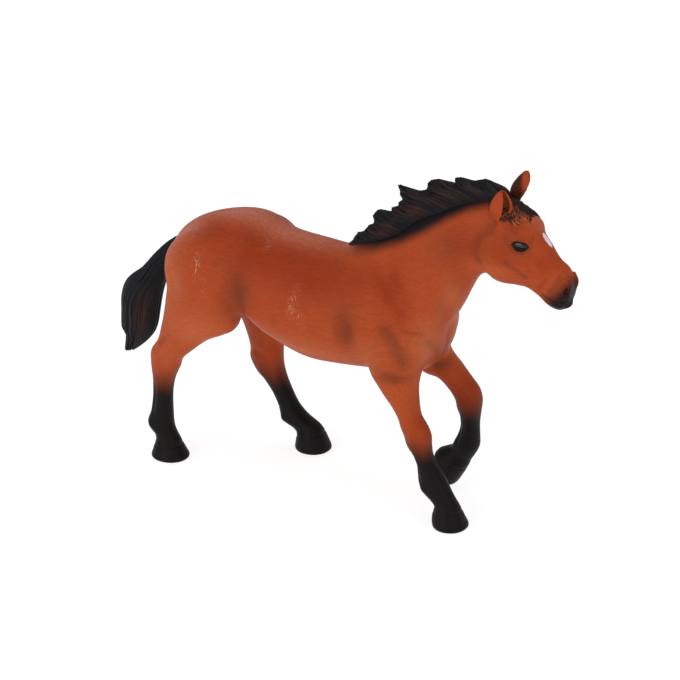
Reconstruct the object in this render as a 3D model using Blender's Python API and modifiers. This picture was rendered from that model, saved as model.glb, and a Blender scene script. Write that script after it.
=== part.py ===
# Toy horse figure: eight solid PVC mouldings that plug and bond together
# Frame: +X towards the nose, +Y to the horse's left, +Z up, soles on Z = 0, lengths in metres

import math

import bmesh
import bpy
import numpy as np
from mathutils import Matrix, Vector

mm = 0.001

# Driving sizes of the figure
trunk_length = 100 * mm
trunk_depth = 40 * mm
trunk_width = 39 * mm
leg_length = 40 * mm
leg_width = 10 * mm
hoof_width = 12 * mm
right_fore_stance = 15.6 * mm
left_fore_stance = 8.6 * mm
right_hind_stance = 15 * mm
left_hind_stance = 12.4 * mm
neck_length = 50 * mm
neck_width = 27 * mm
head_length = 40 * mm
head_width = 14 * mm
ear_length = 12 * mm
ear_width = 5.4 * mm
ear_spread = 15.6 * mm
mane_height = 11 * mm
mane_width = 4.6 * mm
tail_length = 50 * mm
tail_width = 12.5 * mm

# How the pieces meet
seam_gap = 0.3 * mm
leg_peg_diameter = 5 * mm
leg_peg_length = 7 * mm
neck_peg_diameter = 9 * mm
neck_peg_length = 9 * mm
tail_peg_diameter = 3.4 * mm
tail_peg_length = 6 * mm
mane_peg_diameter = 2.2 * mm
mane_peg_length = 3.6 * mm
peg_root = 2.5 * mm
peg_clearance = 0.3 * mm
cut_overrun = 80 * mm
peg_sides = 6

# How finely the forms are fused
body_voxel = 0.9 * mm
hair_voxel = 0.7 * mm
body_detail_share = 0.13
hair_detail_share = 0.16
smooth_factor = 0.5
body_smooth_count = 4
hair_smooth_count = 2
ring_sides = 20
ball_segments = 24
ball_rings = 16
steps_between_rings = 4

# The side view is one drawing. Its points are shares of a hundred millimetres of horse: x runs from
# mid-trunk to the nose and z up from the ground, and each region is stretched by the size it follows.
leg_share = 0.40
trunk_depth_share = 0.40
neck_share = 0.50
head_share = 0.40
ear_share = 0.12
tail_share = 0.50
neck_root_share = (0.25, 0.70)
head_root_share = (0.53, 0.90)
ear_root_share = (0.57, 0.99)
tail_root_share = (-0.58, 0.67)


def height(share):
    if share < leg_share:
        return share * leg_length / leg_share
    return leg_length + (share - leg_share) * trunk_depth / trunk_depth_share


def trunk_place(x, z):
    return x * trunk_length, height(z)


def stretched(place, root_share, unit):
    """Places points round a root that itself rides on another region."""
    root_x, root_z = place(*root_share)

    def region(x, z):
        return root_x + (x - root_share[0]) * unit, root_z + (z - root_share[1]) * unit

    return region


neck_place = stretched(trunk_place, neck_root_share, neck_length / neck_share)
head_place = stretched(neck_place, head_root_share, head_length / head_share)
ear_place = stretched(head_place, ear_root_share, ear_length / ear_share)
tail_place = stretched(trunk_place, tail_root_share, tail_length / tail_share)

# Rings of a form: one end's x and z, the other end's x and z, the middle's y and the half width.
# The widths and y places are shares of the sizes that build_body names beside each form.
trunk_shares = [
    (-0.575, 0.665, -0.560, 0.575, 0.0, 0.16),
    (-0.565, 0.735, -0.540, 0.510, 0.0, 0.29),
    (-0.500, 0.786, -0.500, 0.490, 0.0, 0.40),
    (-0.400, 0.825, -0.420, 0.490, 0.0, 0.465),
    (-0.300, 0.834, -0.300, 0.470, 0.0, 0.48),
    (-0.200, 0.799, -0.190, 0.428, 0.0, 0.475),
    (-0.080, 0.775, -0.060, 0.407, 0.0, 0.50),
    (0.030, 0.772, 0.050, 0.404, 0.0, 0.49),
    (0.130, 0.790, 0.160, 0.408, 0.0, 0.44),
    (0.230, 0.785, 0.260, 0.415, 0.0, 0.41),
    (0.320, 0.715, 0.325, 0.440, 0.0, 0.34),
    (0.375, 0.650, 0.365, 0.485, 0.0, 0.25),
    (0.393, 0.600, 0.383, 0.535, 0.0, 0.13),
]
neck_shares = [
    (0.080, 0.770, 0.280, 0.500, 0.0, 0.46),
    (0.130, 0.805, 0.370, 0.580, 0.0, 0.46),
    (0.200, 0.848, 0.418, 0.650, 0.0, 0.40),
    (0.280, 0.902, 0.452, 0.718, 0.0, 0.32),
    (0.365, 0.952, 0.480, 0.768, 0.0, 0.26),
    (0.450, 0.988, 0.515, 0.795, 0.0, 0.235),
    (0.530, 1.005, 0.560, 0.810, 0.0, 0.22),
]
head_shares = [
    (0.500, 0.985, 0.500, 0.850, 0.0, 0.30),
    (0.565, 1.015, 0.524, 0.793, 0.0, 0.43),
    (0.630, 1.002, 0.562, 0.770, 0.0, 0.49),
    (0.672, 0.964, 0.604, 0.764, 0.0, 0.48),
    (0.708, 0.917, 0.647, 0.763, 0.0, 0.38),
    (0.742, 0.877, 0.685, 0.746, 0.0, 0.31),
    (0.773, 0.851, 0.719, 0.724, 0.0, 0.32),
    (0.797, 0.823, 0.757, 0.717, 0.0, 0.31),
    (0.806, 0.795, 0.788, 0.744, 0.0, 0.20),
]
ear_shares = [
    (0.596, 0.975, 0.530, 0.970, 0.46, 0.50),
    (0.608, 1.010, 0.535, 1.005, 0.60, 0.52),
    (0.610, 1.045, 0.543, 1.045, 0.75, 0.44),
    (0.602, 1.075, 0.561, 1.075, 0.90, 0.30),
    (0.590, 1.100, 0.579, 1.100, 1.00, 0.14),
]
right_foreleg_shares = [
    (0.360, 0.600, 0.140, 0.540, 0.62, 0.68),
    (0.352, 0.490, 0.180, 0.450, 0.78, 0.68),
    (0.355, 0.420, 0.222, 0.395, 0.84, 0.57),
    (0.368, 0.353, 0.266, 0.332, 0.89, 0.47),
    (0.395, 0.298, 0.300, 0.283, 0.92, 0.43),
    (0.413, 0.253, 0.323, 0.240, 0.94, 0.42),
    (0.432, 0.206, 0.352, 0.190, 0.96, 0.34),
    (0.453, 0.160, 0.372, 0.144, 0.97, 0.32),
    (0.482, 0.112, 0.385, 0.099, 0.98, 0.40),
    (0.502, 0.083, 0.415, 0.066, 0.99, 0.38),
    (0.515, 0.068, 0.422, 0.056, 1.00, 0.46),
]
left_foreleg_shares = [
    (0.330, 0.580, 0.140, 0.500, 0.86, 0.66),
    (0.338, 0.480, 0.235, 0.375, 0.96, 0.60),
    (0.384, 0.422, 0.295, 0.364, 1.00, 0.52),
    (0.418, 0.385, 0.340, 0.338, 1.00, 0.46),
    (0.446, 0.350, 0.368, 0.305, 1.00, 0.44),
    (0.456, 0.305, 0.384, 0.275, 1.00, 0.42),
    (0.451, 0.255, 0.383, 0.245, 1.00, 0.34),
    (0.452, 0.195, 0.374, 0.198, 1.00, 0.33),
    (0.448, 0.148, 0.350, 0.168, 1.00, 0.40),
    (0.424, 0.108, 0.338, 0.140, 1.00, 0.38),
    (0.414, 0.082, 0.318, 0.122, 1.00, 0.46),
]
right_hind_shares = [
    (-0.230, 0.720, -0.500, 0.770, 0.50, 0.90),
    (-0.225, 0.600, -0.552, 0.650, 0.62, 0.90),
    (-0.262, 0.524, -0.562, 0.555, 0.74, 0.82),
    (-0.330, 0.474, -0.562, 0.505, 0.83, 0.70),
    (-0.406, 0.436, -0.566, 0.450, 0.88, 0.55),
    (-0.452, 0.390, -0.582, 0.403, 0.91, 0.46),
    (-0.492, 0.346, -0.612, 0.363, 0.94, 0.42),
    (-0.503, 0.298, -0.609, 0.293, 0.96, 0.42),
    (-0.520, 0.248, -0.607, 0.241, 0.97, 0.35),
    (-0.529, 0.192, -0.611, 0.184, 0.98, 0.33),
    (-0.533, 0.135, -0.614, 0.128, 0.99, 0.38),
    (-0.527, 0.107, -0.614, 0.104, 1.00, 0.41),
    (-0.512, 0.072, -0.594, 0.062, 1.00, 0.39),
    (-0.503, 0.058, -0.598, 0.050, 1.00, 0.46),
]
left_hind_shares = [
    (-0.200, 0.690, -0.500, 0.760, 0.55, 0.90),
    (-0.205, 0.570, -0.550, 0.630, 0.72, 0.90),
    (-0.215, 0.480, -0.520, 0.520, 0.84, 0.82),
    (-0.250, 0.410, -0.465, 0.445, 0.92, 0.68),
    (-0.276, 0.350, -0.415, 0.388, 0.95, 0.54),
    (-0.284, 0.300, -0.402, 0.332, 0.97, 0.45),
    (-0.278, 0.248, -0.404, 0.278, 0.98, 0.42),
    (-0.262, 0.212, -0.370, 0.226, 1.00, 0.39),
    (-0.244, 0.193, -0.320, 0.156, 1.00, 0.34),
    (-0.208, 0.143, -0.287, 0.108, 1.00, 0.34),
    (-0.174, 0.110, -0.266, 0.082, 1.00, 0.40),
    (-0.150, 0.090, -0.234, 0.056, 1.00, 0.39),
    (-0.128, 0.066, -0.226, 0.046, 1.00, 0.48),
]
# Hooves: the coronet ring and the sole ring, which lies under the ground and is cut flat on it
right_fore_hoof_shares = [
    (0.516, 0.068, 0.419, 0.058, 1.0, 0.42),
    (0.543, -0.012, 0.414, -0.012, 1.0, 0.50),
]
left_fore_hoof_shares = [
    (0.414, 0.078, 0.318, 0.120, 1.0, 0.42),
    (0.366, 0.010, 0.308, 0.088, 1.0, 0.50),
]
right_hind_hoof_shares = [
    (-0.500, 0.058, -0.600, 0.050, 1.0, 0.42),
    (-0.470, -0.012, -0.610, -0.012, 1.0, 0.50),
]
left_hind_hoof_shares = [
    (-0.126, 0.064, -0.226, 0.050, 1.0, 0.42),
    (-0.100, -0.012, -0.236, -0.012, 1.0, 0.50),
]

tail_shares = [
    (-0.500, 0.720, -0.500, 0.630, 0.0, 0.30),
    (-0.550, 0.715, -0.545, 0.630, 0.0, 0.30),
    (-0.598, 0.704, -0.580, 0.628, 0.0, 0.30),
    (-0.655, 0.650, -0.605, 0.570, 0.0, 0.36),
    (-0.710, 0.598, -0.638, 0.520, 0.0, 0.43),
    (-0.764, 0.542, -0.660, 0.470, 0.0, 0.48),
    (-0.803, 0.490, -0.668, 0.415, 0.0, 0.48),
    (-0.818, 0.420, -0.678, 0.360, 0.0, 0.44),
    (-0.814, 0.350, -0.700, 0.314, 0.0, 0.38),
    (-0.808, 0.300, -0.745, 0.283, 0.0, 0.28),
    (-0.800, 0.260, -0.783, 0.258, 0.0, 0.10),
]

# Muscle swellings: x, z and y places, then their half sizes along x, z and y
trunk_muscle_shares = [
    (-0.400, 0.650, 0.26, 0.150, 0.130, 0.25),
    (0.240, 0.600, 0.24, 0.110, 0.150, 0.20),
    (0.310, 0.530, 0.15, 0.068, 0.080, 0.15),
]

# Seams: where each crosses its limb in the drawing, how far its outward side is turned from straight
# down towards the nose, and the y place and stance of the limb
fore_seam_share = (0.305, 0.375)
lifted_seam_share = (0.335, 0.395)
right_hind_seam_share = (-0.500, 0.398)
left_hind_seam_share = (-0.352, 0.385)
neck_seam_share = (0.265, 0.712)
tail_peg_share = (-0.590, 0.660)
fore_seam_y_share = 0.84
lifted_seam_y_share = 1.0
hind_seam_y_share = 0.90
leg_reach_share = 0.40
fore_seam_turn = math.radians(20)
lifted_seam_turn = math.radians(35)
right_hind_seam_turn = math.radians(-15)
left_hind_seam_turn = math.radians(-8)
neck_seam_turn = math.radians(148)
tail_peg_turn = math.radians(-84)

# The mane: its height above the crest at places along the crest, both as shares
mane_rise_shares = [
    (0.01, 0.38),
    (0.18, 0.62),
    (0.36, 0.80),
    (0.50, 0.86),
    (0.70, 0.80),
    (0.90, 0.78),
    (0.99, 0.66),
]
mane_foot_share = 0.35
crest_reach_share = 0.1
mane_strip_rings = 14

# Locks: where each stands along the crest, how tall it is and how far back it sweeps
mane_locks_shares = [
    (0.02, 0.50, 0.12),
    (0.21, 0.92, -0.20),
    (0.43, 1.20, -0.34),
    (0.61, 1.02, -0.28),
    (0.76, 0.96, -0.16),
    (0.88, 0.88, -0.08),
    (0.97, 0.84, 0.00),
]
lock_depth_share = 0.46
lock_root_share = -0.3
lock_tip_share = 0.04
lock_rings = 6
lock_bend = 1.5
mane_peg_places_shares = (0.35, 0.60, 0.85)
forelock_shares = [
    (0.520, 1.055, 0.510, 0.990, 0.0, 0.42),
    (0.560, 1.062, 0.555, 0.985, 0.0, 0.50),
    (0.612, 1.050, 0.590, 0.975, 0.0, 0.55),
    (0.654, 1.015, 0.622, 0.955, 0.0, 0.45),
    (0.672, 0.975, 0.645, 0.940, 0.0, 0.20),
]

coat_brown = (0.42, 0.085, 0.022, 1.0)
points_black = (0.012, 0.010, 0.010, 1.0)
paint_roughness = 0.42

horse = bpy.data.collections.new("toy_horse")
cutters = bpy.data.collections.new("toy_horse_cutters")


def placed_rings(place, shares, track, width):
    """Turns a table of shares into rings in metres; track scales the y places, width the half widths."""
    rows = []
    for x1, z1, x2, z2, y, half in shares:
        rows.append((*place(x1, z1), *place(x2, z2), y * track, half * width))
    return np.array(rows)


def smooth_rows(rows):
    """Rounds the steps between rings with a curve that passes through every ring."""
    ends = np.vstack([2 * rows[0] - rows[1], rows, 2 * rows[-1] - rows[-2]])
    out = []
    for i in range(1, len(ends) - 2):
        p0, p1, p2, p3 = ends[i - 1:i + 3]
        for t in np.arange(steps_between_rings) / steps_between_rings:
            line = 2 * p1 + (p2 - p0) * t
            bend = (2 * p0 - 5 * p1 + 4 * p2 - p3) * t ** 2 + (3 * p1 - p0 - 3 * p2 + p3) * t ** 3
            out.append((line + bend) / 2)
    out.append(rows[-1])
    return np.array(out)


def add_loft(form, rows, straight=False):
    """Skins the rings, ellipses whose planes hold the y axis, into one closed tube."""
    rows = rows if straight else smooth_rows(rows)
    rings = []
    for x1, z1, x2, z2, y, half in rows:
        middle = Vector(((x1 + x2) / 2, y, (z1 + z2) / 2))
        reach = Vector(((x1 - x2) / 2, 0, (z1 - z2) / 2))
        ring = []
        for side in range(ring_sides):
            turn = math.tau * side / ring_sides
            swing = Vector((0, half * math.sin(turn), 0))
            ring.append(form.verts.new(middle + reach * math.cos(turn) + swing))
        rings.append(ring)
    for low, high in zip(rings, rings[1:]):
        for i in range(ring_sides):
            j = (i + 1) % ring_sides
            form.faces.new((low[i], low[j], high[j], high[i]))
    form.faces.new(rings[0])
    form.faces.new(rings[-1])


def add_swelling(form, place, shares, side):
    x, z, y, along, up, across = shares
    middle_x, middle_z = place(x, z)
    middle = Matrix.Translation((middle_x, side * y * trunk_width, middle_z))
    rise = up * trunk_depth / trunk_depth_share
    shape = middle @ Matrix.Diagonal((along * trunk_length, across * trunk_width, rise, 1))
    bmesh.ops.create_uvsphere(form, u_segments=ball_segments, v_segments=ball_rings, radius=1, matrix=shape)


def fused(name, form, voxel, smooth_count, detail):
    """Fuses overlapping forms into one skin, smooths the joins and thins the mesh."""
    bmesh.ops.recalc_face_normals(form, faces=form.faces)
    mesh = bpy.data.meshes.new(name)
    form.to_mesh(mesh)
    form.free()
    clay = bpy.data.objects.new(name, mesh)
    bpy.context.scene.collection.objects.link(clay)
    remesh = clay.modifiers.new("fuse", "REMESH")
    remesh.mode = "VOXEL"
    remesh.voxel_size = voxel
    smooth = clay.modifiers.new("smooth", "SMOOTH")
    smooth.factor = smooth_factor
    smooth.iterations = smooth_count
    thin = clay.modifiers.new("thin", "DECIMATE")
    thin.ratio = detail
    skin = baked(clay)
    bpy.data.objects.remove(clay)
    return skin


def baked(piece):
    bpy.context.view_layer.update()
    graph = bpy.context.evaluated_depsgraph_get()
    return bpy.data.meshes.new_from_object(piece.evaluated_get(graph))


def build_body():
    """The whole animal in one skin, before it is cut at the seams."""
    form = bmesh.new()
    add_loft(form, placed_rings(trunk_place, trunk_shares, trunk_width, trunk_width))
    add_loft(form, placed_rings(neck_place, neck_shares, neck_width, neck_width))
    add_loft(form, placed_rings(head_place, head_shares, head_width, head_width))
    legs = [
        (right_foreleg_shares, right_fore_hoof_shares, -right_fore_stance),
        (left_foreleg_shares, left_fore_hoof_shares, left_fore_stance),
        (right_hind_shares, right_hind_hoof_shares, -right_hind_stance),
        (left_hind_shares, left_hind_hoof_shares, left_hind_stance),
    ]
    for leg_shares, hoof_shares, stance in legs:
        add_loft(form, placed_rings(trunk_place, leg_shares, stance, leg_width))
        add_loft(form, placed_rings(trunk_place, hoof_shares, stance, hoof_width), straight=True)
    for side in (-1, 1):
        add_loft(form, placed_rings(ear_place, ear_shares, side * ear_spread / 2, ear_width))
        for shares in trunk_muscle_shares:
            add_swelling(form, trunk_place, shares, side)
    return fused("body", form, body_voxel, body_smooth_count, body_detail_share)


def flat_soles(body):
    """Cuts everything under the ground away, which leaves the soles flat."""
    low = (-trunk_length - cut_overrun, -cut_overrun, -cut_overrun)
    ground = box_cutter("ground", Matrix(), low, (trunk_length + cut_overrun, cut_overrun, 0))
    shape = mesh_object("standing_body", body, cutters)
    combine(shape, ground, "DIFFERENCE")
    flat = baked(shape)
    bpy.data.objects.remove(shape)
    return flat


def crest_rows():
    return smooth_rows(placed_rings(neck_place, neck_shares, neck_width, neck_width))[:, :2]


def crest_point(share):
    """A point on the crest of the neck, and the directions along it to the poll and out of it."""
    line = crest_rows()
    steps = np.linalg.norm(np.diff(line, axis=0), axis=1)
    run = np.concatenate([[0], np.cumsum(steps)])
    at = share * run[-1]
    point = np.array([np.interp(at, run, line[:, axis]) for axis in (0, 1)])
    reach = crest_reach_share * run[-1]
    ahead = np.array([np.interp(at + reach, run, line[:, axis]) for axis in (0, 1)])
    behind = np.array([np.interp(at - reach, run, line[:, axis]) for axis in (0, 1)])
    along = (ahead - behind) / np.linalg.norm(ahead - behind)
    out = np.array([-along[1], along[0]])
    return point, along, out


def lock_rows(share, tall, sweep):
    """One lock: a tapering blade that leaves the crest and bends back to its tip."""
    point, along, out = crest_point(share)
    rows = []
    for step in np.linspace(lock_root_share, 1, lock_rings):
        taper = math.sqrt(max(1 - step, lock_tip_share))
        bend = sweep * max(step, 0) ** lock_bend
        middle = point + (out * tall * step - along * bend) * mane_height
        front = middle + along * lock_depth_share * mane_height * taper
        back = middle - along * lock_depth_share * mane_height * taper
        rows.append((*front, *back, 0.0, mane_width / 2 * taper))
    return np.array(rows)


def build_mane_form():
    form = bmesh.new()
    strip = []
    places, rises = zip(*mane_rise_shares)
    for share in np.linspace(places[0], places[-1], mane_strip_rings):
        point, along, out = crest_point(share)
        top = point + out * np.interp(share, places, rises) * mane_height
        foot = point - out * mane_foot_share * mane_height
        strip.append((*top, *foot, 0.0, mane_width / 2))
    add_loft(form, np.array(strip))
    for lock in mane_locks_shares:
        add_loft(form, lock_rows(*lock))
    add_loft(form, placed_rings(head_place, forelock_shares, mane_width, mane_width))
    return fused("mane_form", form, hair_voxel, hair_smooth_count, hair_detail_share)


def build_tail_form():
    form = bmesh.new()
    add_loft(form, placed_rings(tail_place, tail_shares, tail_width, tail_width))
    return fused("tail_form", form, hair_voxel, hair_smooth_count, hair_detail_share)


def seam_frame(x, y, z, turn):
    """A frame whose Z axis points out of the trunk, turned from straight down towards the nose."""
    return Matrix.Translation((x, y, z)) @ Matrix.Rotation(math.pi - turn, 4, "Y")


def mesh_object(name, mesh, collection):
    piece = bpy.data.objects.new(name, mesh)
    collection.objects.link(piece)
    return piece


def new_cutter(name, form):
    mesh = bpy.data.meshes.new(name)
    form.to_mesh(mesh)
    form.free()
    cutter = mesh_object(name, mesh, cutters)
    cutter.hide_render = True
    cutter.display_type = "WIRE"
    return cutter


def box_cutter(name, frame, low, high):
    form = bmesh.new()
    bmesh.ops.create_cube(form, size=1)
    low, high = Vector(low), Vector(high)
    form.transform(frame @ Matrix.Translation((low + high) / 2) @ Matrix.Diagonal((*(high - low), 1)))
    return new_cutter(name, form)


def peg_cutter(name, frame, diameter, length, root):
    """A six-sided peg that runs into the neighbour for its length and back into its own piece."""
    form = bmesh.new()
    middle = Matrix.Translation((0, 0, (root - length) / 2))
    bmesh.ops.create_cone(
        form, cap_ends=True, segments=peg_sides, radius1=diameter / 2, radius2=diameter / 2,
        depth=length + root, matrix=frame @ middle,
    )
    return new_cutter(name, form)


def peg_and_socket(name, frame, diameter, length):
    """The peg, and the hollow that it fits with the clearance round it and past its end."""
    bore, depth = diameter + 2 * peg_clearance, length + peg_clearance
    peg = peg_cutter(name + "_peg", frame, diameter, length, peg_root)
    socket = peg_cutter(name + "_socket", frame, bore, depth, peg_root)
    return peg, socket


def combine(piece, cutter, operation):
    step = piece.modifiers.new(cutter.name, "BOOLEAN")
    step.operation = operation
    step.solver = "EXACT"
    step.object = cutter


def cut_off(name, body, trunk, frame, low, high, peg_diameter, peg_length):
    """Parts a limb and its peg from the trunk, half the gap to each side of the frame's plane."""
    peg, socket = peg_and_socket(name, frame, peg_diameter, peg_length)
    keep = box_cutter(name + "_keep", frame, (*low, seam_gap / 2), (*high, cut_overrun))
    combine(keep, peg, "UNION")
    lose = box_cutter(name + "_lose", frame, (*low, -seam_gap / 2), (*high, cut_overrun))
    combine(lose, socket, "UNION")
    limb = mesh_object(name, body.copy(), horse)
    combine(limb, keep, "INTERSECT")
    combine(trunk, lose, "DIFFERENCE")
    return limb


def seat_on_body(form, name, body, frames, host, peg_diameter, peg_length):
    """Cuts a piece to the grown skin of the body, all but the pegs that it sends into its host."""
    piece = mesh_object(name, form, horse)
    grown = mesh_object(name + "_seat", body.copy(), cutters)
    grown.hide_render = True
    grown.display_type = "WIRE"
    push = grown.modifiers.new("grow", "DISPLACE")
    push.strength = seam_gap
    push.mid_level = 0
    for number, frame in enumerate(frames):
        peg, socket = peg_and_socket(name + "_" + str(number), frame, peg_diameter, peg_length)
        combine(grown, peg, "DIFFERENCE")
        combine(host, socket, "DIFFERENCE")
    combine(piece, grown, "DIFFERENCE")
    return piece


def pvc(name, colour):
    material = bpy.data.materials.new(name)
    material.use_nodes = True
    shader = material.node_tree.nodes["Principled BSDF"]
    shader.inputs["Base Color"].default_value = colour
    shader.inputs["Roughness"].default_value = paint_roughness
    shader.inputs["Metallic"].default_value = 0
    return material


def finish_piece(piece, material):
    piece.data.materials.clear()
    piece.data.materials.append(material)
    piece.data.shade_smooth()


def stand_on_origin():
    """Brings the middle of the figure's box over the origin, with every piece under one empty."""
    corners = []
    bpy.context.view_layer.update()
    graph = bpy.context.evaluated_depsgraph_get()
    for piece in horse.objects:
        corners += [corner[:] for corner in piece.evaluated_get(graph).bound_box]
    low, high = np.min(corners, axis=0), np.max(corners, axis=0)
    base = bpy.data.objects.new("figure_base", None)
    horse.objects.link(base)
    for piece in list(horse.objects) + list(cutters.objects):
        if piece != base:
            piece.parent = base
    base.location = (-(low[0] + high[0]) / 2, -(low[1] + high[1]) / 2, -low[2])


def main():
    for item in list(bpy.data.objects):
        bpy.data.objects.remove(item)
    bpy.context.scene.collection.children.link(horse)
    bpy.context.scene.collection.children.link(cutters)

    body = flat_soles(build_body())
    coat = pvc("coat_paint", coat_brown)
    hair = pvc("hair_paint", points_black)
    trunk = mesh_object("trunk", body.copy(), horse)

    right_fore_y = -fore_seam_y_share * right_fore_stance
    left_fore_y = lifted_seam_y_share * left_fore_stance
    right_hind_y = -hind_seam_y_share * right_hind_stance
    left_hind_y = hind_seam_y_share * left_hind_stance
    limbs = [
        ("right_foreleg", fore_seam_share, right_fore_y, fore_seam_turn),
        ("left_foreleg", lifted_seam_share, left_fore_y, lifted_seam_turn),
        ("right_hind_leg", right_hind_seam_share, right_hind_y, right_hind_seam_turn),
        ("left_hind_leg", left_hind_seam_share, left_hind_y, left_hind_seam_turn),
    ]
    for name, seam_share, y, turn in limbs:
        x, z = trunk_place(*seam_share)
        frame = seam_frame(x, y, z, turn)
        # Each leg's own side of both middle planes, without the head that hangs ahead of the forelegs
        back, front = sorted((x, -math.copysign(leg_reach_share * trunk_length, x)))
        inner, outer = sorted((-y, math.copysign(cut_overrun, y)))
        cut_off(name, body, trunk, frame, (back, inner), (front, outer), leg_peg_diameter, leg_peg_length)

    x, z = neck_place(*neck_seam_share)
    low, high = (-cut_overrun, -cut_overrun), (cut_overrun, cut_overrun)
    frame = seam_frame(x, 0, z, neck_seam_turn)
    head = cut_off("head_and_neck", body, trunk, frame, low, high, neck_peg_diameter, neck_peg_length)

    x, z = tail_place(*tail_peg_share)
    frame = seam_frame(x, 0, z, tail_peg_turn)
    tail = seat_on_body(build_tail_form(), "tail", body, [frame], trunk, tail_peg_diameter, tail_peg_length)

    frames = []
    for share in mane_peg_places_shares:
        point, along, out = crest_point(share)
        frames.append(seam_frame(point[0], 0, point[1], math.atan2(out[0], -out[1])))
    mane = seat_on_body(build_mane_form(), "mane", body, frames, head, mane_peg_diameter, mane_peg_length)

    for piece in horse.objects:
        finish_piece(piece, hair if piece in (mane, tail) else coat)
    stand_on_origin()


main()
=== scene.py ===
import math

import bmesh
import bpy
import numpy as np
from mathutils import Matrix, Vector
from mathutils.bvhtree import BVHTree


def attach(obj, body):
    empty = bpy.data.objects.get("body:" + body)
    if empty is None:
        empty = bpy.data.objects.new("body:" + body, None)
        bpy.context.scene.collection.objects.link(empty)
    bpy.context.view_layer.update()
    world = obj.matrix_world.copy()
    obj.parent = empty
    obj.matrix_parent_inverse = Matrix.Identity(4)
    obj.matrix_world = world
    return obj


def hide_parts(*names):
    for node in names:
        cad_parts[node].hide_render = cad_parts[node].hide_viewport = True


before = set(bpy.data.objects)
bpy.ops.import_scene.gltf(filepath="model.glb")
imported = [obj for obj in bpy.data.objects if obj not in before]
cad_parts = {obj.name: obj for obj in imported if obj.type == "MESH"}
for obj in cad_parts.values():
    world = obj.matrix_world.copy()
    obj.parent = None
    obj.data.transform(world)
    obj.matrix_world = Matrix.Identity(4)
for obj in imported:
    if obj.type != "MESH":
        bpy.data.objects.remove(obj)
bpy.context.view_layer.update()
print("frame loaded with", len(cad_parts), "nodes")

mm = 0.001
# The figure is drawn in millimetres in the CAD's side view: x to the nose, z up, y to the horse's left.
# The CAD then centres its box over the origin, which is this shift.
drawingShift = Vector((0.68, 0.72, 0.0))


def addObject(name, data):
    thing = bpy.data.objects.new(name, data)
    bpy.context.scene.collection.objects.link(thing)
    return thing


view = {
    "azimuth": 29.5,          # degrees round from the horse's right side towards its nose
    "elevation": 23.0,
    "distance": 950.0,        # mm from the aim to the lens
    "aim": (0.68, 0.72, 46.2),
    "pixelsPerMm": 3.2,
    "photoPixels": 680,
    "sensor": 36.0,
}


def makeCamera():
    a, e = math.radians(view["azimuth"]), math.radians(view["elevation"])
    back = Vector((math.sin(a) * math.cos(e), -math.cos(a) * math.cos(e), math.sin(e)))
    right = Vector((math.cos(a), math.sin(a), 0))
    turn = Matrix((right, back.cross(right), back)).transposed().to_4x4()
    lens = bpy.data.cameras.new("camera")
    lens.sensor_width = view["sensor"]
    lens.lens = view["pixelsPerMm"] * view["distance"] / view["photoPixels"] * view["sensor"]
    lens.clip_start = 10 * mm
    camera = addObject("camera", lens)
    camera.matrix_world = Matrix.Translation((Vector(view["aim"]) + back * view["distance"]) * mm) @ turn
    bpy.context.scene.camera = camera


makeCamera()
print("camera placed")

# Rings of each form: x and z of its first end, x and z of its other end, the middle's y, the half width
# and how much narrower the first end is than the other
trunkRings = [
    (-57.5, 66.5, -56.0, 57.5, 0.0, 6.2, 0.0),
    (-56.6, 73.2, -54.4, 51.0, 0.0, 11.4, 0.0),
    (-50.2, 78.6, -50.0, 49.0, 0.0, 15.4, 0.0),
    (-39.6, 82.4, -42.0, 49.6, 0.0, 18.0, 0.06),
    (-30.2, 83.2, -30.0, 51.4, 0.0, 18.6, 0.08),
    (-20.6, 79.6, -19.0, 44.6, 0.0, 18.5, 0.08),
    (-8.0, 78.5, -6.0, 40.9, 0.0, 19.5, 0.12),
    (2.4, 78.3, 5.0, 41.0, 0.0, 19.1, 0.16),
    (12.0, 81.4, 16.0, 41.6, 0.0, 17.4, 0.20),
    (22.4, 80.0, 26.0, 42.4, 0.0, 16.4, 0.16),
    (32.0, 71.5, 32.5, 44.4, 0.0, 14.0, 0.10),
    (36.8, 65.0, 35.8, 48.5, 0.0, 10.4, 0.0),
    (38.4, 60.0, 37.4, 53.5, 0.0, 5.1, 0.0),
]
neckRings = [
    (3.6, 79.2, 28.0, 50.0, 0.0, 12.4, 0.24),
    (11.6, 83.0, 37.0, 58.0, 0.0, 12.4, 0.30),
    (19.6, 86.6, 41.8, 65.0, 0.0, 10.8, 0.32),
    (27.0, 92.4, 45.2, 71.8, 0.0, 8.8, 0.30),
    (35.4, 97.2, 48.0, 76.8, 0.0, 7.2, 0.26),
    (44.0, 101.6, 51.5, 79.5, 0.0, 6.4, 0.18),
    (52.2, 103.8, 56.0, 81.0, 0.0, 5.9, 0.08),
]
headRings = [
    (50.0, 101.0, 50.0, 85.0, 0.0, 4.2, 0.0),
    (57.2, 102.6, 52.2, 78.6, 0.0, 5.8, -0.02),
    (63.4, 100.8, 56.2, 77.0, 0.0, 6.7, -0.05),
    (67.9, 98.5, 60.4, 77.2, 0.0, 6.4, -0.06),
    (68.6, 95.4, 62.8, 77.2, 0.0, 5.8, -0.04),
    (71.1, 92.4, 64.9, 77.1, 0.0, 5.2, -0.02),
    (74.5, 88.0, 68.6, 75.2, 0.0, 4.3, 0.0),
    (77.8, 85.5, 72.0, 72.6, 0.0, 4.3, -0.05),
    (78.5, 82.4, 76.2, 72.0, 0.0, 4.1, 0.0),
    (79.8, 79.0, 78.6, 74.8, 0.0, 2.7, 0.0),
]
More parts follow.
